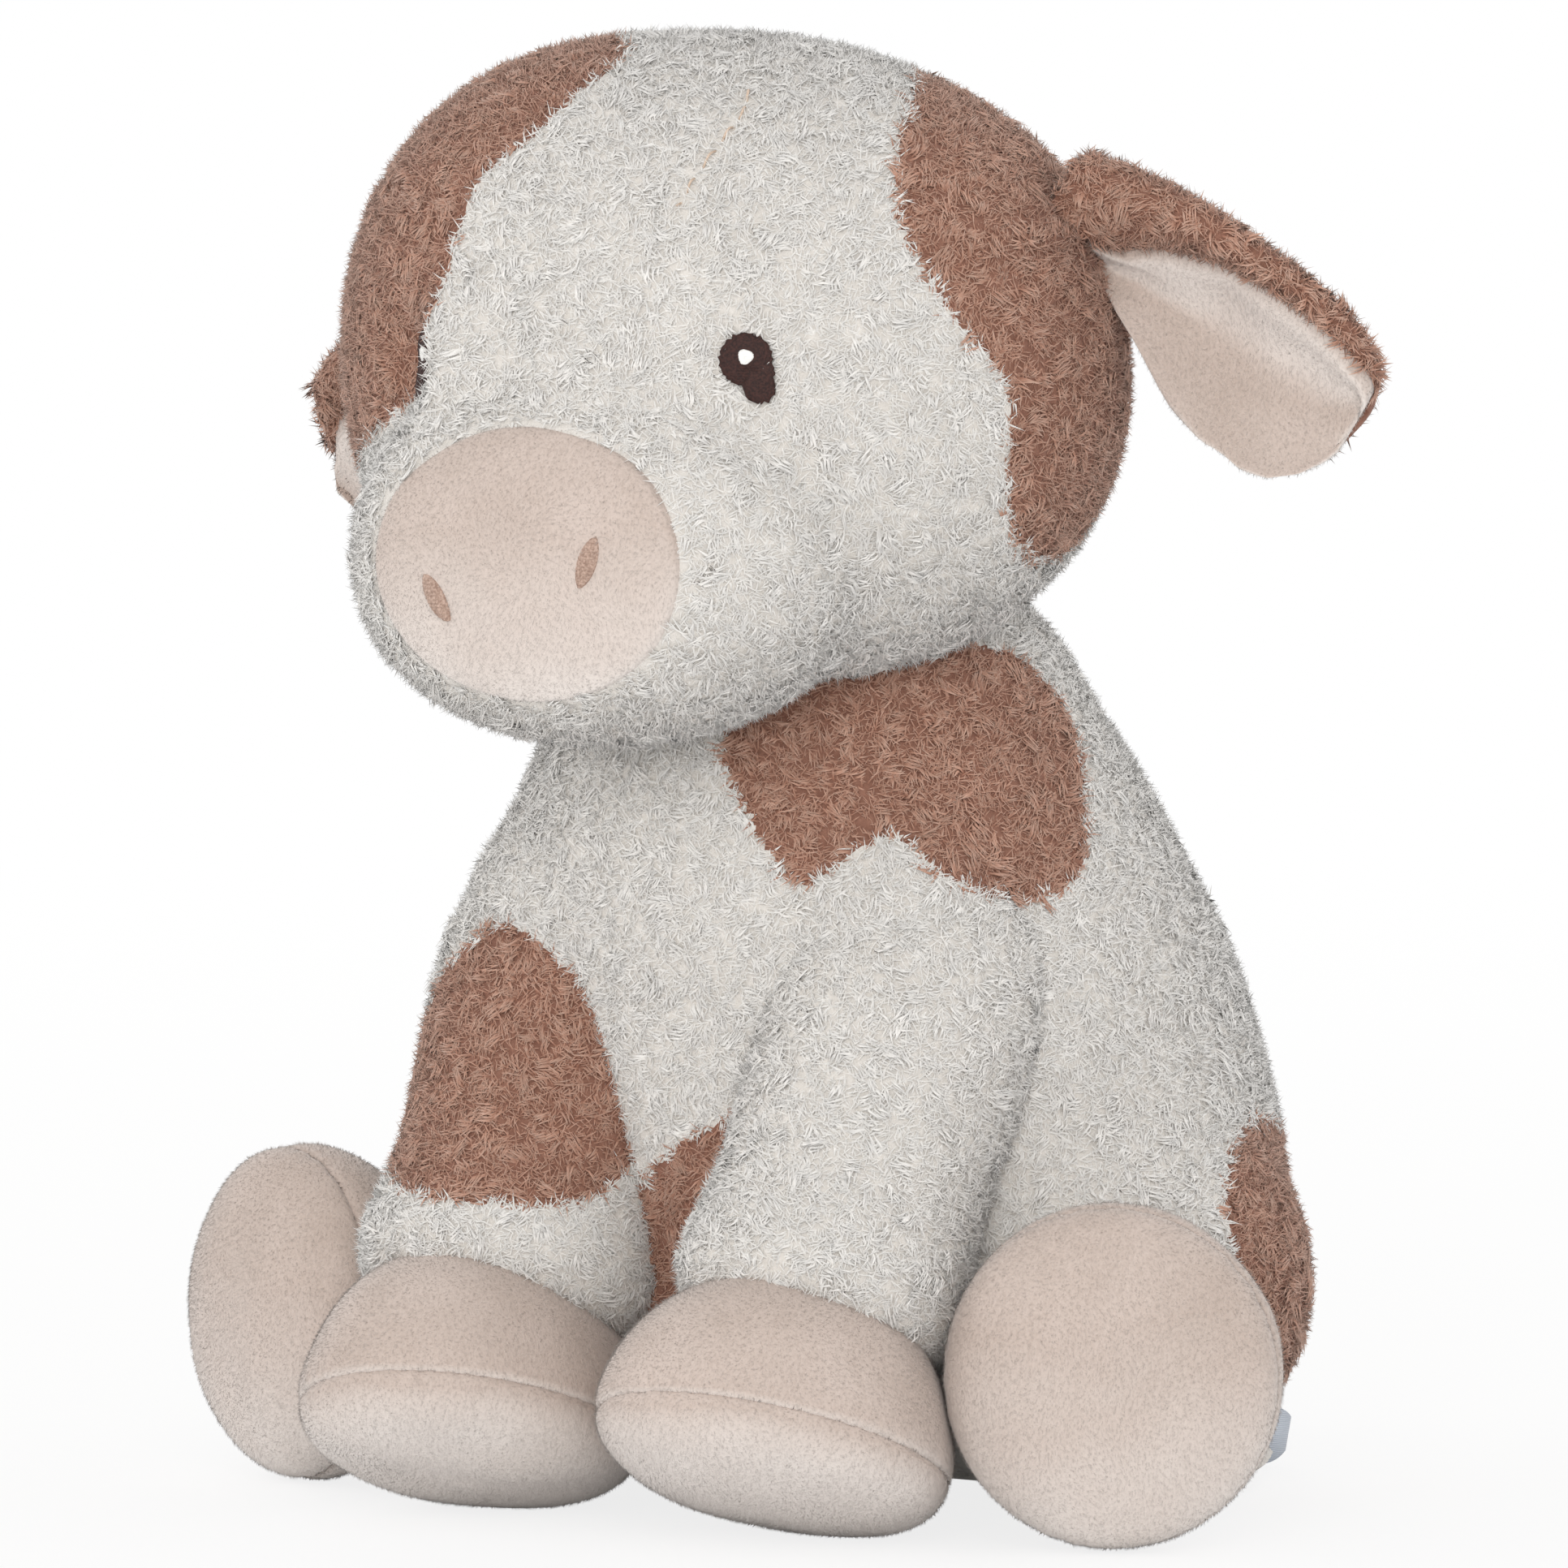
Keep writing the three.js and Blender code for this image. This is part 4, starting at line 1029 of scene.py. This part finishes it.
def eye_reach(angle):
    """How far the eye's outline lies from its middle, in degrees, with a ragged stitched edge."""
    reach = np.zeros_like(angle)
    for out, up, radius in EYE_DISCS:
        toward = out * np.cos(angle) + up * np.sin(angle)
        spare = np.maximum(toward ** 2 - out ** 2 - up ** 2 + radius ** 2, 0)
        reach = np.maximum(reach, toward + np.sqrt(spare))
    return reach * (1 + 0.03 * np.sin(angle * 23) + 0.025 * np.sin(angle * 41 + 1))


def stitch_outline(side, part, angle):
    """The outline of an eye, its highlight or a nostril, in degrees round and up."""
    around, up = FACE[side][part][:2]
    if part == "nostril":
        half_round, half_up, tip = FACE[side][part][2:]
        turn = math.radians(tip)
        across = half_round * np.sign(np.cos(angle)) * np.abs(np.cos(angle)) ** 1.4
        along = half_up * np.sin(angle)
        return (around + across * math.cos(turn) - along * math.sin(turn),
                up + across * math.sin(turn) + along * math.cos(turn))
    reach = eye_reach(angle) if part == "eye" else 1.25 + 0.12 * np.sin(3 * angle + 1)
    return around + SIDES[side] * reach * np.cos(angle), up + reach * np.sin(angle)


def eye_share(points, side):
    """How far out of an eye's middle the points lie: 1 is its edge."""
    around, up = FACE[side]["eye"]
    off = points - HEAD_MIDDLE
    out = (np.degrees(np.arctan2(off[:, 0], -off[:, 1])) - around) * SIDES[side]
    above = np.degrees(np.arctan2(off[:, 2], np.hypot(off[:, 0], off[:, 1]))) - up
    return np.hypot(out, above) / eye_reach(np.arctan2(above, out))


def directions(around, up):
    around, up = np.radians(around), np.radians(up)
    return np.stack([np.sin(around) * np.cos(up), -np.cos(around) * np.cos(up), np.sin(up)], -1)


# Where the stuffing swells or slackens the head: a way out of its middle, how far, and the spread
SWELLINGS = [
    ((-0.50, -0.50, 0.72), 7.5, 32), ((0.55, 0.35, 0.75), -2.0, 26), ((0.2, -0.3, 0.93), 1.6, 30),
    ((-0.57, -0.82, 0.03), -6.5, 7.5), ((-0.43, -0.89, 0.14), 3.0, 7),
    ((-0.44, -0.90, 0.0), 4.0, 7), ((-0.47, -0.87, -0.16), 3.0, 7), ((0.60, -0.80, 0.04), -1.2, 9),
]


def swell(points):
    ways = unit(points - HEAD_MIDDLE)
    total = np.zeros(len(points))
    for way, amount, spread in SWELLINGS:
        angle = np.degrees(np.arccos(np.clip(ways @ unit(np.array(way)), -1, 1)))
        total += amount * np.exp(-(angle / spread) ** 2)
    return total


def head_level(points):
    """The head's forms, joined with a soft crease."""
    skull, snout = SKULL.level(points), SNOUT.level(points)
    near = np.maximum(1 - np.abs(skull - snout) / 8, 0)
    return np.minimum(skull, snout) - near * near * 2 - swell(points)


def face_points(rays):
    """Where rays from the head's middle leave it."""
    out = crossing(lambda half: head_level(HEAD_MIDDLE + half[:, None] * rays) < 0,
                   *NEAR_AND_FAR, len(rays), rounds=26)
    return HEAD_MIDDLE + out[:, None] * rays


def add_stitched(side, part, material, crown, base, ridge, threads, rows=26, sides=72):
    """Satin stitch: a low crown over a base, with so many ridges of thread to a degree."""
    around, up = FACE[side][part][:2]
    edge_round, edge_up = stitch_outline(side, part, turns(sides))
    rings = []
    for share in np.linspace(0, 1, rows + 1)[1:]:
        x, y = around + (edge_round - around) * share, up + (edge_up - up) * share
        rays = directions(x, y)
        stitches = ridge * np.sin((y - up) * threads * 2 * math.pi)
        height = base + crown * math.sqrt(max(1 - share ** 2.6, 0)) + stitches
        rings.append(face_points(rays) + rays * height[:, None])
    middle = rings[0].mean(0)
    inward = directions(around, up)
    rings += [rings[-1] - inward * 1.4, rings[-1] * 0.5 + middle * 0.5 - inward * 2.2]
    points, faces = lofted(np.array(rings), middle, rings[-1].mean(0))
    name = f"{part}_{side}"
    stand_in(name, f"{name}_stitches", points, faces, [material], "head")


def add_face():
    for side in SIDES:
        add_stitched(side, "eye", DARK_THREAD,
                     crown=0.9, base=1.0, ridge=0.10, threads=2.2)
        add_stitched(side, "eye_highlight", WHITE_THREAD,
                     crown=0.4, base=1.85, ridge=0.06, threads=2.4, rows=10, sides=24)
        add_stitched(side, "nostril", ROSE_THREAD,
                     crown=0.7, base=1.75, ridge=0.11, threads=2.2)


def add_muzzle():
    """The velboa panel that closes the snout, sunk a little at its seam."""
    rings = []
    angle = turns(180)
    for share in np.linspace(0, 1.02, 72)[1:]:
        x = share * MUZZLE_WIDE * np.cos(angle) + MUZZLE_SIDE
        z = share * MUZZLE_HIGH * np.sin(angle) + MUZZLE_DROP
        y = crossing(
            lambda half: head_level(on_head(np.stack([x, half, z], 1))) < 0, -30, -130, len(angle))
        ring = on_head(np.stack([x, y, z], 1))
        out = unit(ring - on_head([MUZZLE_SIDE, -30, MUZZLE_DROP]))
        puff = 1.5 * (1 - share ** 8) - 1.3 * math.exp(-((share - 1) / 0.035) ** 2)
        rings.append(ring + out * (puff + 0.3 * lumps(ring, 26, 5))[:, None])
    middle = rings[0].mean(0)
    inward = HEAD_TURN @ np.array([0, 1.0, 0])
    rings += [rings[-1] + inward * 2.5, rings[-1] * 0.5 + middle * 0.5 + inward * 8]
    rings = np.array(rings)
    points, faces = lofted(rings, middle, rings[-1].mean(0))
    add_velboa(
        "muzzle_panel", points, faces, "head", seed=31, fill=0.9,
        keep=lambda roots, normals: (normals @ inward < 0.1) & (muzzle_share(roots) < 1.0))


# Velboa caps and soles

def velboa_half(form, sole, seed, rows=56, sides=210):
    """One side of a hoof or foot, from its pole to the seam, puckered where it is sewn."""
    seam = math.acos(1 - 2 * form.seam_share) / math.pi
    first, last = (0.0, seam) if sole else (1.0, seam)
    grid = form.grid(first, last, rows + 1, sides)[1:]
    angle = turns(sides)
    pole = form.section(first)[2]
    middle = form.section(seam)[2]
    normals = grid_normals(grid)
    share = np.linspace(0, 1, rows + 1)[1:, None]
    reach = np.linalg.norm(grid - grid[-1], axis=-1)
    strength = 0.6 + 0.4 * np.sin(angle * 5 + seed)
    gathers = np.sin(angle * 41 + 2.5 * np.sin(angle * 7 + seed)) * strength
    pucker = 0.28 * gathers * np.exp(-reach / 3.2)
    dip = -0.75 * np.exp(-(reach / 0.7) ** 2) - 0.4 * np.exp(-(reach / 3.2) ** 2)
    uneven = lumps(grid.reshape(-1, 3), 34, seed).reshape(reach.shape)
    soft = 0.55 * uneven * (1 - np.exp(-reach / 8))
    grid = grid + normals * (pucker + dip + soft)[..., None] * np.minimum(share * 8, 1)[..., None]
    inner = [grid[-1] * 0.8 + middle * 0.2, grid[-1] * 0.3 + middle * 0.7]
    points, faces = lofted(np.concatenate([grid, inner]), pole, middle)
    points[:, 2] = np.maximum(points[:, 2], VELBOA_OFF_GROUND)
    return points, outward(points, faces)


def add_velboa_pair(kind, side, form, leg, body, seed):
    """The upper and the sole of a hoof or foot."""
    for half, sole in (("upper", False), ("sole", True)):
        points, faces = velboa_half(form, sole, seed + sole)
        add_velboa(
            f"{kind}_{half}_{side}", points, faces, body, seed=seed + sole + 3, fill=0.9,
            keep=lambda roots, normals: (
                clear_of(roots, [leg], 2.0) & (form.level(roots) > -2.5)
                & (roots[:, 2] > VELBOA_OFF_GROUND + 0.01)))


# Legs

def add_leg(body, form, foot, patches, seed):
    points, faces = sewn([form.shell()], voxel=2.0, rounds=6)
    points[:, 2] = np.maximum(points[:, 2], SKIN_OFF_GROUND)
    fold = ("torso", body, form.pivot - 22 * form.down, form.pivot + 26 * form.down)
    roots, normals = seeds_on(points, faces, seed)
    keep = clear_of(roots, [BODY], 2.5) & clear_of(roots, [foot], 2.0) & (roots[:, 2] > 1.0)
    drift = np.broadcast_to(form.down, roots.shape)
    fur = [part[keep] for part in (roots, normals, drift)]
    patches = {patch: seed + 5 for patch in patches}
    dress(body, points, faces, fur, KNEE_MIDDLE, patches, seed=seed + 10, body=fold)
    stuffed = sewn([form.shell(), foot.shell()], voxel=2.6, rounds=12)
    add_filling(f"{body}_filling", *stuffed, fold)


def add_legs():
    kinds = (
        ("front_leg", FRONT_LEGS, "hoof", HOOVES, 500), ("hind_leg", HIND_LEGS, "foot", FEET, 700))
    for step, side in enumerate(SIDES):
        for name, legs, foot_name, feet, seed in kinds:
            body, leg, foot = f"{name}_{side}", legs[side], feet[side]
            patches = ["knee_patch"] if body == "front_leg_right" else []
            add_leg(body, leg, foot, patches, seed + 50 * step)
            add_velboa_pair(foot_name, side, foot, leg, body, seed + 100 + 10 * step)


# Ears

EARS = {
    "left": {"root": (80, 10, 33), "tip": (141, 35, -16.5), "facing": (0.2, -1, -0.3)},
    "right": {"root": (-80, 10, 1), "tip": (-129.5, 37, -30), "facing": (-0.5, -0.85, -0.15)},
}
EAR_WIDTHS = [0.55, 0.66, 0.78, 0.88, 0.96, 1, 1, 0.92, 0.73, 0.22]
EAR_HALF_WIDTH, EAR_CUP, EAR_ROLL = 24.0, 30.0, 8.5
# How much of that the ear reaches to its upper edge, and to its lower one, from root to tip
EAR_UPPER, EAR_LOWER = [1.1, 1.25, 1.2, 1.12, 1.0], [0.32, 0.54, 0.84, 1.1, 1.48]
# Where the rolled edge begins and where the lining ends, at places from root to tip
BAND_PLACES = [0, 0.12, 0.3, 0.5, 0.7, 0.9, 1]
BAND_EDGES = [-0.8, -0.3, 0.25, 0.5, 0.56, 0.64, 0.85]
LINING_LOW_PLACES = [0, 0.1, 0.22, 0.4, 1]
LINING_LOWS = [-0.75, -0.85, -0.98, -1.03, -1.03]


def ear_frame(side):
    """Root, axis from root to tip, the way it faces, and the way across it to its upper edge."""
    root, tip, facing = (np.array(EARS[side][key], float) for key in ("root", "tip", "facing"))
    axis = tip - root
    along = unit(axis)
    facing = unit(facing - along * (facing @ along))
    cross = np.cross(along, facing)
    return root, axis, facing, cross * np.sign(cross[2])


def ear_half_width(along, across):
    """How far the leaf reaches from its axis to the edge on this side of it."""
    width = np.interp(along, np.linspace(0, 1, len(EAR_WIDTHS)), EAR_WIDTHS)
    ends = np.interp(along, [0.7, 0.8, 0.88, 0.94, 0.98, 1.0], [0.97, 0.88, 0.74, 0.56, 0.34, 0.08])
    reach = [np.interp(along, np.linspace(0, 1, 5), shares) for shares in (EAR_UPPER, EAR_LOWER)]
    return np.where(along > 0.7, ends, width) * EAR_HALF_WIDTH * np.where(across > 0, *reach)


def ear_surface(side, along, across, offset):
    """A place on the cupped leaf, from root to tip and from the lower edge to the upper one."""
    root, axis, facing, cross = ear_frame(side)
    angle = across * ear_half_width(along, across) / EAR_CUP
    return on_head(
        root + along[..., None] * axis + (np.sin(angle) * EAR_CUP)[..., None] * cross
        + ((1 - np.cos(angle)) * EAR_CUP + offset)[..., None] * facing)


def ear_place(side, points):
    """Where on the leaf the points lie: the share along it, and the share across it."""
    root, axis, facing, cross = ear_frame(side)
    local = (points - HEAD_MIDDLE) @ HEAD_TURN - root
    along = local @ axis / (axis @ axis)
    angle = np.arctan2(local @ cross, EAR_CUP - local @ facing)
    return along, angle * EAR_CUP / np.maximum(ear_half_width(along.clip(0, 1), angle), 0.5)


def ear_hollow(along, across, band):
    """How deep the ear's cup is pressed in below its rolled edge."""
    return 4.5 * np.exp(-((across - band + 0.65) / 0.36) ** 2) * math.sin(math.pi * along) ** 0.5


def ear_back(side, rows=60, columns=60):
    """The furry back with its upper edge rolled forward over the lining."""
    rings = []
    across = np.sin(np.linspace(-1, 1, columns) * math.pi / 2)
    edge = np.sqrt(np.maximum(1 - across ** 8, 0))
    for along in np.linspace(0, 1, rows):
        line = np.full(columns, along)
        band = np.interp(along, BAND_PLACES, BAND_EDGES)
        rolled = np.clip((across - band) / (1 - band), 0, 1)
        arch = np.sqrt(np.maximum(1 - (2 * rolled - 1) ** 2, 0)) * (rolled > 0)
        roll = EAR_ROLL * (1 - 0.75 * along) * arch
        hollow = ear_hollow(along, across, band)
        front = ear_surface(side, line, across, -2.2 + (2.2 + roll - hollow) * edge)
        thick = 2.8 + 2.5 * (1 - along) + 0.7 * hollow
        back = ear_surface(side, line, across, -2.2 - thick * edge)[::-1]
        rings.append(np.concatenate([front, back[1:-1]]))
    return lofted(np.array(rings), rings[0].mean(0), rings[-1].mean(0))


def ear_lining(side, seed, rows=90, columns=70):
    """The velboa lining, which runs from under the rolled edge to the ear's lower edge."""
    rings = []
    for along in np.linspace(0.04, 0.985, rows):
        line = np.full(columns, along)
        band = np.interp(along, BAND_PLACES, BAND_EDGES)
        low = np.interp(along, LINING_LOW_PLACES, LINING_LOWS)
        across = np.linspace(low, min(band + 0.12, 0.97), columns)
        edge = np.sqrt(np.maximum(1 - np.linspace(-1, 1, columns) ** 10, 0))
        hem = np.exp(-((across - band + 0.12) / 0.16) ** 2) * 2.0 * min(along * 3, 1)
        lip = np.exp(-((across - low) / 0.2) ** 2) * 1.6
        hollow = ear_hollow(along, across, band)
        front = ear_surface(side, line, across, 0.2 + (2.6 + hem + lip) * edge - hollow)
        back = ear_surface(side, line, across, 0.2 - 0.4 * edge - hollow)[::-1]
        rings.append(np.concatenate([front, back[1:-1]]))
    rings = np.array(rings)
    points, faces = lofted(rings, rings[0].mean(0), rings[-1].mean(0))
    return points + normals_of(points, faces) * (0.45 * lumps(points, 22, seed))[:, None], faces


def add_ear(side, seed):
    body = f"ear_{side}"
    points, faces = sewn([ear_back(side)], voxel=1.3, rounds=5)
    roots, normals = seeds_on(points, faces, seed, 1.15 * WISPS_PER_MM2)
    along, across = ear_place(side, roots)
    facing = HEAD_TURN @ ear_frame(side)[2]
    lined = (normals @ facing > 0.2) & (across < np.interp(along, BAND_PLACES, BAND_EDGES) + 0.04)
    lowest = np.where(along > 0.85, -0.7, -0.9)
    keep = clear_of(roots, [SKULL], 3.0) & ~lined & (across > lowest) & (along < 0.985)
    # The fur of the rim stands out from it, not away behind it
    rim = np.maximum(np.clip((along - 0.8) / 0.1, 0, 1), np.clip((-0.3 - across) / 0.2, 0, 1))
    normals = unit(normals - (0.9 * rim * np.minimum(normals @ facing, 0))[:, None] * facing)
    fur = roots[keep], normals[keep], -UP
    grow(f"{body}_curls", *fur, BROWN_PILE, body, seed + 5, length=5.4)
    stand_in(f"{body}_back", f"{body}_cloth", points, faces, [BROWN_BACKING_PAINTED_SHADE], body)
    add_velboa(f"{body}_lining", *ear_lining(side, seed), body, seed + 9,
               lambda roots, normals: normals @ facing > -0.3)


# Tail and label

def add_tail():
    dock = Form((0, 110, 60), (0, 131, 24), (1, 0, 0), 5.5, 5.5, [
        (0, 0), (0.04, 0.8), (0.2, 1), (0.6, 0.95), (0.94, 0.9), (1, 0)])
    tuft = Form((0, 131, 24), (0, 137, 1), (1, 0, 0), 9, 9, [
        (0, 0), (0.08, 0.5), (0.3, 0.9), (0.55, 1), (0.8, 0.75),
        (0.94, 0.4), (1, 0)])
    for name, form, pile, seed, length, radius in (
            ("tail", dock, WHITE_PILE, 910, 4.5, 0.5),
            ("tail_tuft", tuft, BROWN_PILE, 920, 8.0, 0.6)):
        points, faces = form.shell(30, 32)
        points[:, 2] = np.maximum(points[:, 2], TAIL_OFF_GROUND)
        roots, normals = seeds_on(points, faces, seed, 1.5 * WISPS_PER_MM2)
        keep = clear_of(roots, [BODY], 1.0) & (roots[:, 2] > 1.2)
        fur = roots[keep], normals[keep], form.along
        grow(f"{name}_curls", *fur, pile, "tail", seed, length=length, radius=radius, pull=1.4)
        _, backing, slot = pile
        stand_in(name, f"{name}_cloth", points, faces, [backing], "tail")


def add_label():
    """A folded satin loop that stands out of the seat seam."""
    low, high = cad_corners("care_label")
    turn = math.radians(38)
    out = np.array([math.sin(turn), math.cos(turn), 0])
    along = np.array([out[1], -out[0], 0])
    reach, half, thick, bulge = 15.0, 6.8, 0.3, 1.5
    root = (low + high) / 2 + (4, 0.5, -0.6) - out * 7
    run = np.linspace(0, 2, 41)
    loop = np.stack([reach * (1 - (1 - np.minimum(run, 2 - run)) ** 2),
                     bulge * np.cos(run * math.pi / 2)], 1)
    tangents = np.gradient(loop, axis=0)
    rings = []
    for (far, side), (ahead, aside) in zip(loop, tangents):
        spot = root + out * far + along * side
        # The ribbon leans out, and its corners are rounded at the fold
        lean = (UP + 0.18 * out * (far / reach)) * math.sqrt(1 - 0.7 * (far / reach) ** 5) * half
        normal = unit(out * aside - along * ahead) * thick
        corners = ((1, 1), (-1, 1), (-1, -1), (1, -1))
        rings.append([spot + rise * lean + over * normal for rise, over in corners])
    rings = np.array(rings)
    points, faces = lofted(rings, rings[0].mean(0), rings[-1].mean(0))
    stand_in("care_label", "care_label_satin", points, faces, [SATIN], "torso")


def add_pellet_bag():
    """The bag of pellets inside, which lies on the seat."""
    low, high = cad_corners("pellet_bag")
    points, faces = ball((low + high) / 2, (high - low) / 2)
    points = seated(points)
    points[:, 2] = np.maximum(points[:, 2], 6.0) + 4.0
    stand_in("pellet_bag", "pellet_bag_cloth", points, faces, [FIBRE], "torso")


# Light and floor

def add_lamp(name, place, size, power):
    data = bpy.data.lights.new(name, "AREA")
    data.shape = "DISK"
    data.size = size
    data.energy = power
    data.color = (1, 0.97, 0.93)
    lamp = placed(name, data)
    lamp.location = place
    lamp.rotation_euler = (Vector((0, 0, 0.15)) - Vector(place)).to_track_quat("-Z", "Y").to_euler()


def seen(nodes):
    """1 for rays that show the backdrop: the camera's, and those of gloss and glass."""
    camera, glossy, through = (nodes.node("ShaderNodeLightPath", {}, {}, f"Is {kind} Ray")
                               for kind in ("Camera", "Glossy", "Transmission"))
    return camera + glossy + through


def add_studio():
    floor = Finish("studio_floor", 1.0, Base_Color=(0.86, 0.86, 0.86, 1))
    # The floor fades into the backdrop, and keeps the shadow near the toy
    far = floor.node("ShaderNodeVectorMath", {"operation": "LENGTH"}, {0: floor.places()}, 1)
    ranges = {"Value": far, "From Min": 0.25, "From Max": 1.6, "To Min": 0.82, "To Max": 1.0}
    clear = floor.node("ShaderNodeMapRange", {}, ranges)
    glow = floor.node("ShaderNodeEmission", {}, {"Strength": 1.0})
    floor.share_with(glow, seen(floor) * clear)
    mesh = bpy.data.meshes.new("studio_floor")
    reach = 6.0
    corners = [(x * reach, y * reach, 0) for x, y in ((-1, -1), (1, -1), (1, 1), (-1, 1))]
    mesh.from_pydata(corners, [], [(0, 1, 2, 3)])
    mesh.materials.append(floor.material)
    placed("studio_floor", mesh)

    world = bpy.data.worlds.new("studio")
    bpy.context.scene.world = world
    sky = Nodes(world)
    sky.tree.nodes["Background"].inputs["Color"].default_value = (1, 1, 1, 1)
    ranges = {"Value": seen(sky), "To Min": 0.76, "To Max": 1.0}
    sky.feed("Background", "Strength", sky.node("ShaderNodeMapRange", {}, ranges))

    for name, place, size, power in (
            ("front", (1.15, -1.8, 0.95), 1.3, 13), ("side", (-1.7, -1.1, 0.9), 1.4, 7),
            ("low", (0.7, -1.9, 0.15), 1.2, 8), ("back_left", (1.6, 1.3, 1.1), 1.4, 7),
            ("back_right", (-1.3, 1.6, 1.1), 1.4, 7)):
        add_lamp(name, place, size, power)


add_camera()
add_torso()
add_head()
add_muzzle()
add_face()
add_legs()
for step, side in enumerate(SIDES):
    add_ear(side, 950 + 20 * step)
add_tail()
add_label()
add_pellet_bag()
add_studio()

bpy.context.scene.view_settings.view_transform = "Standard"
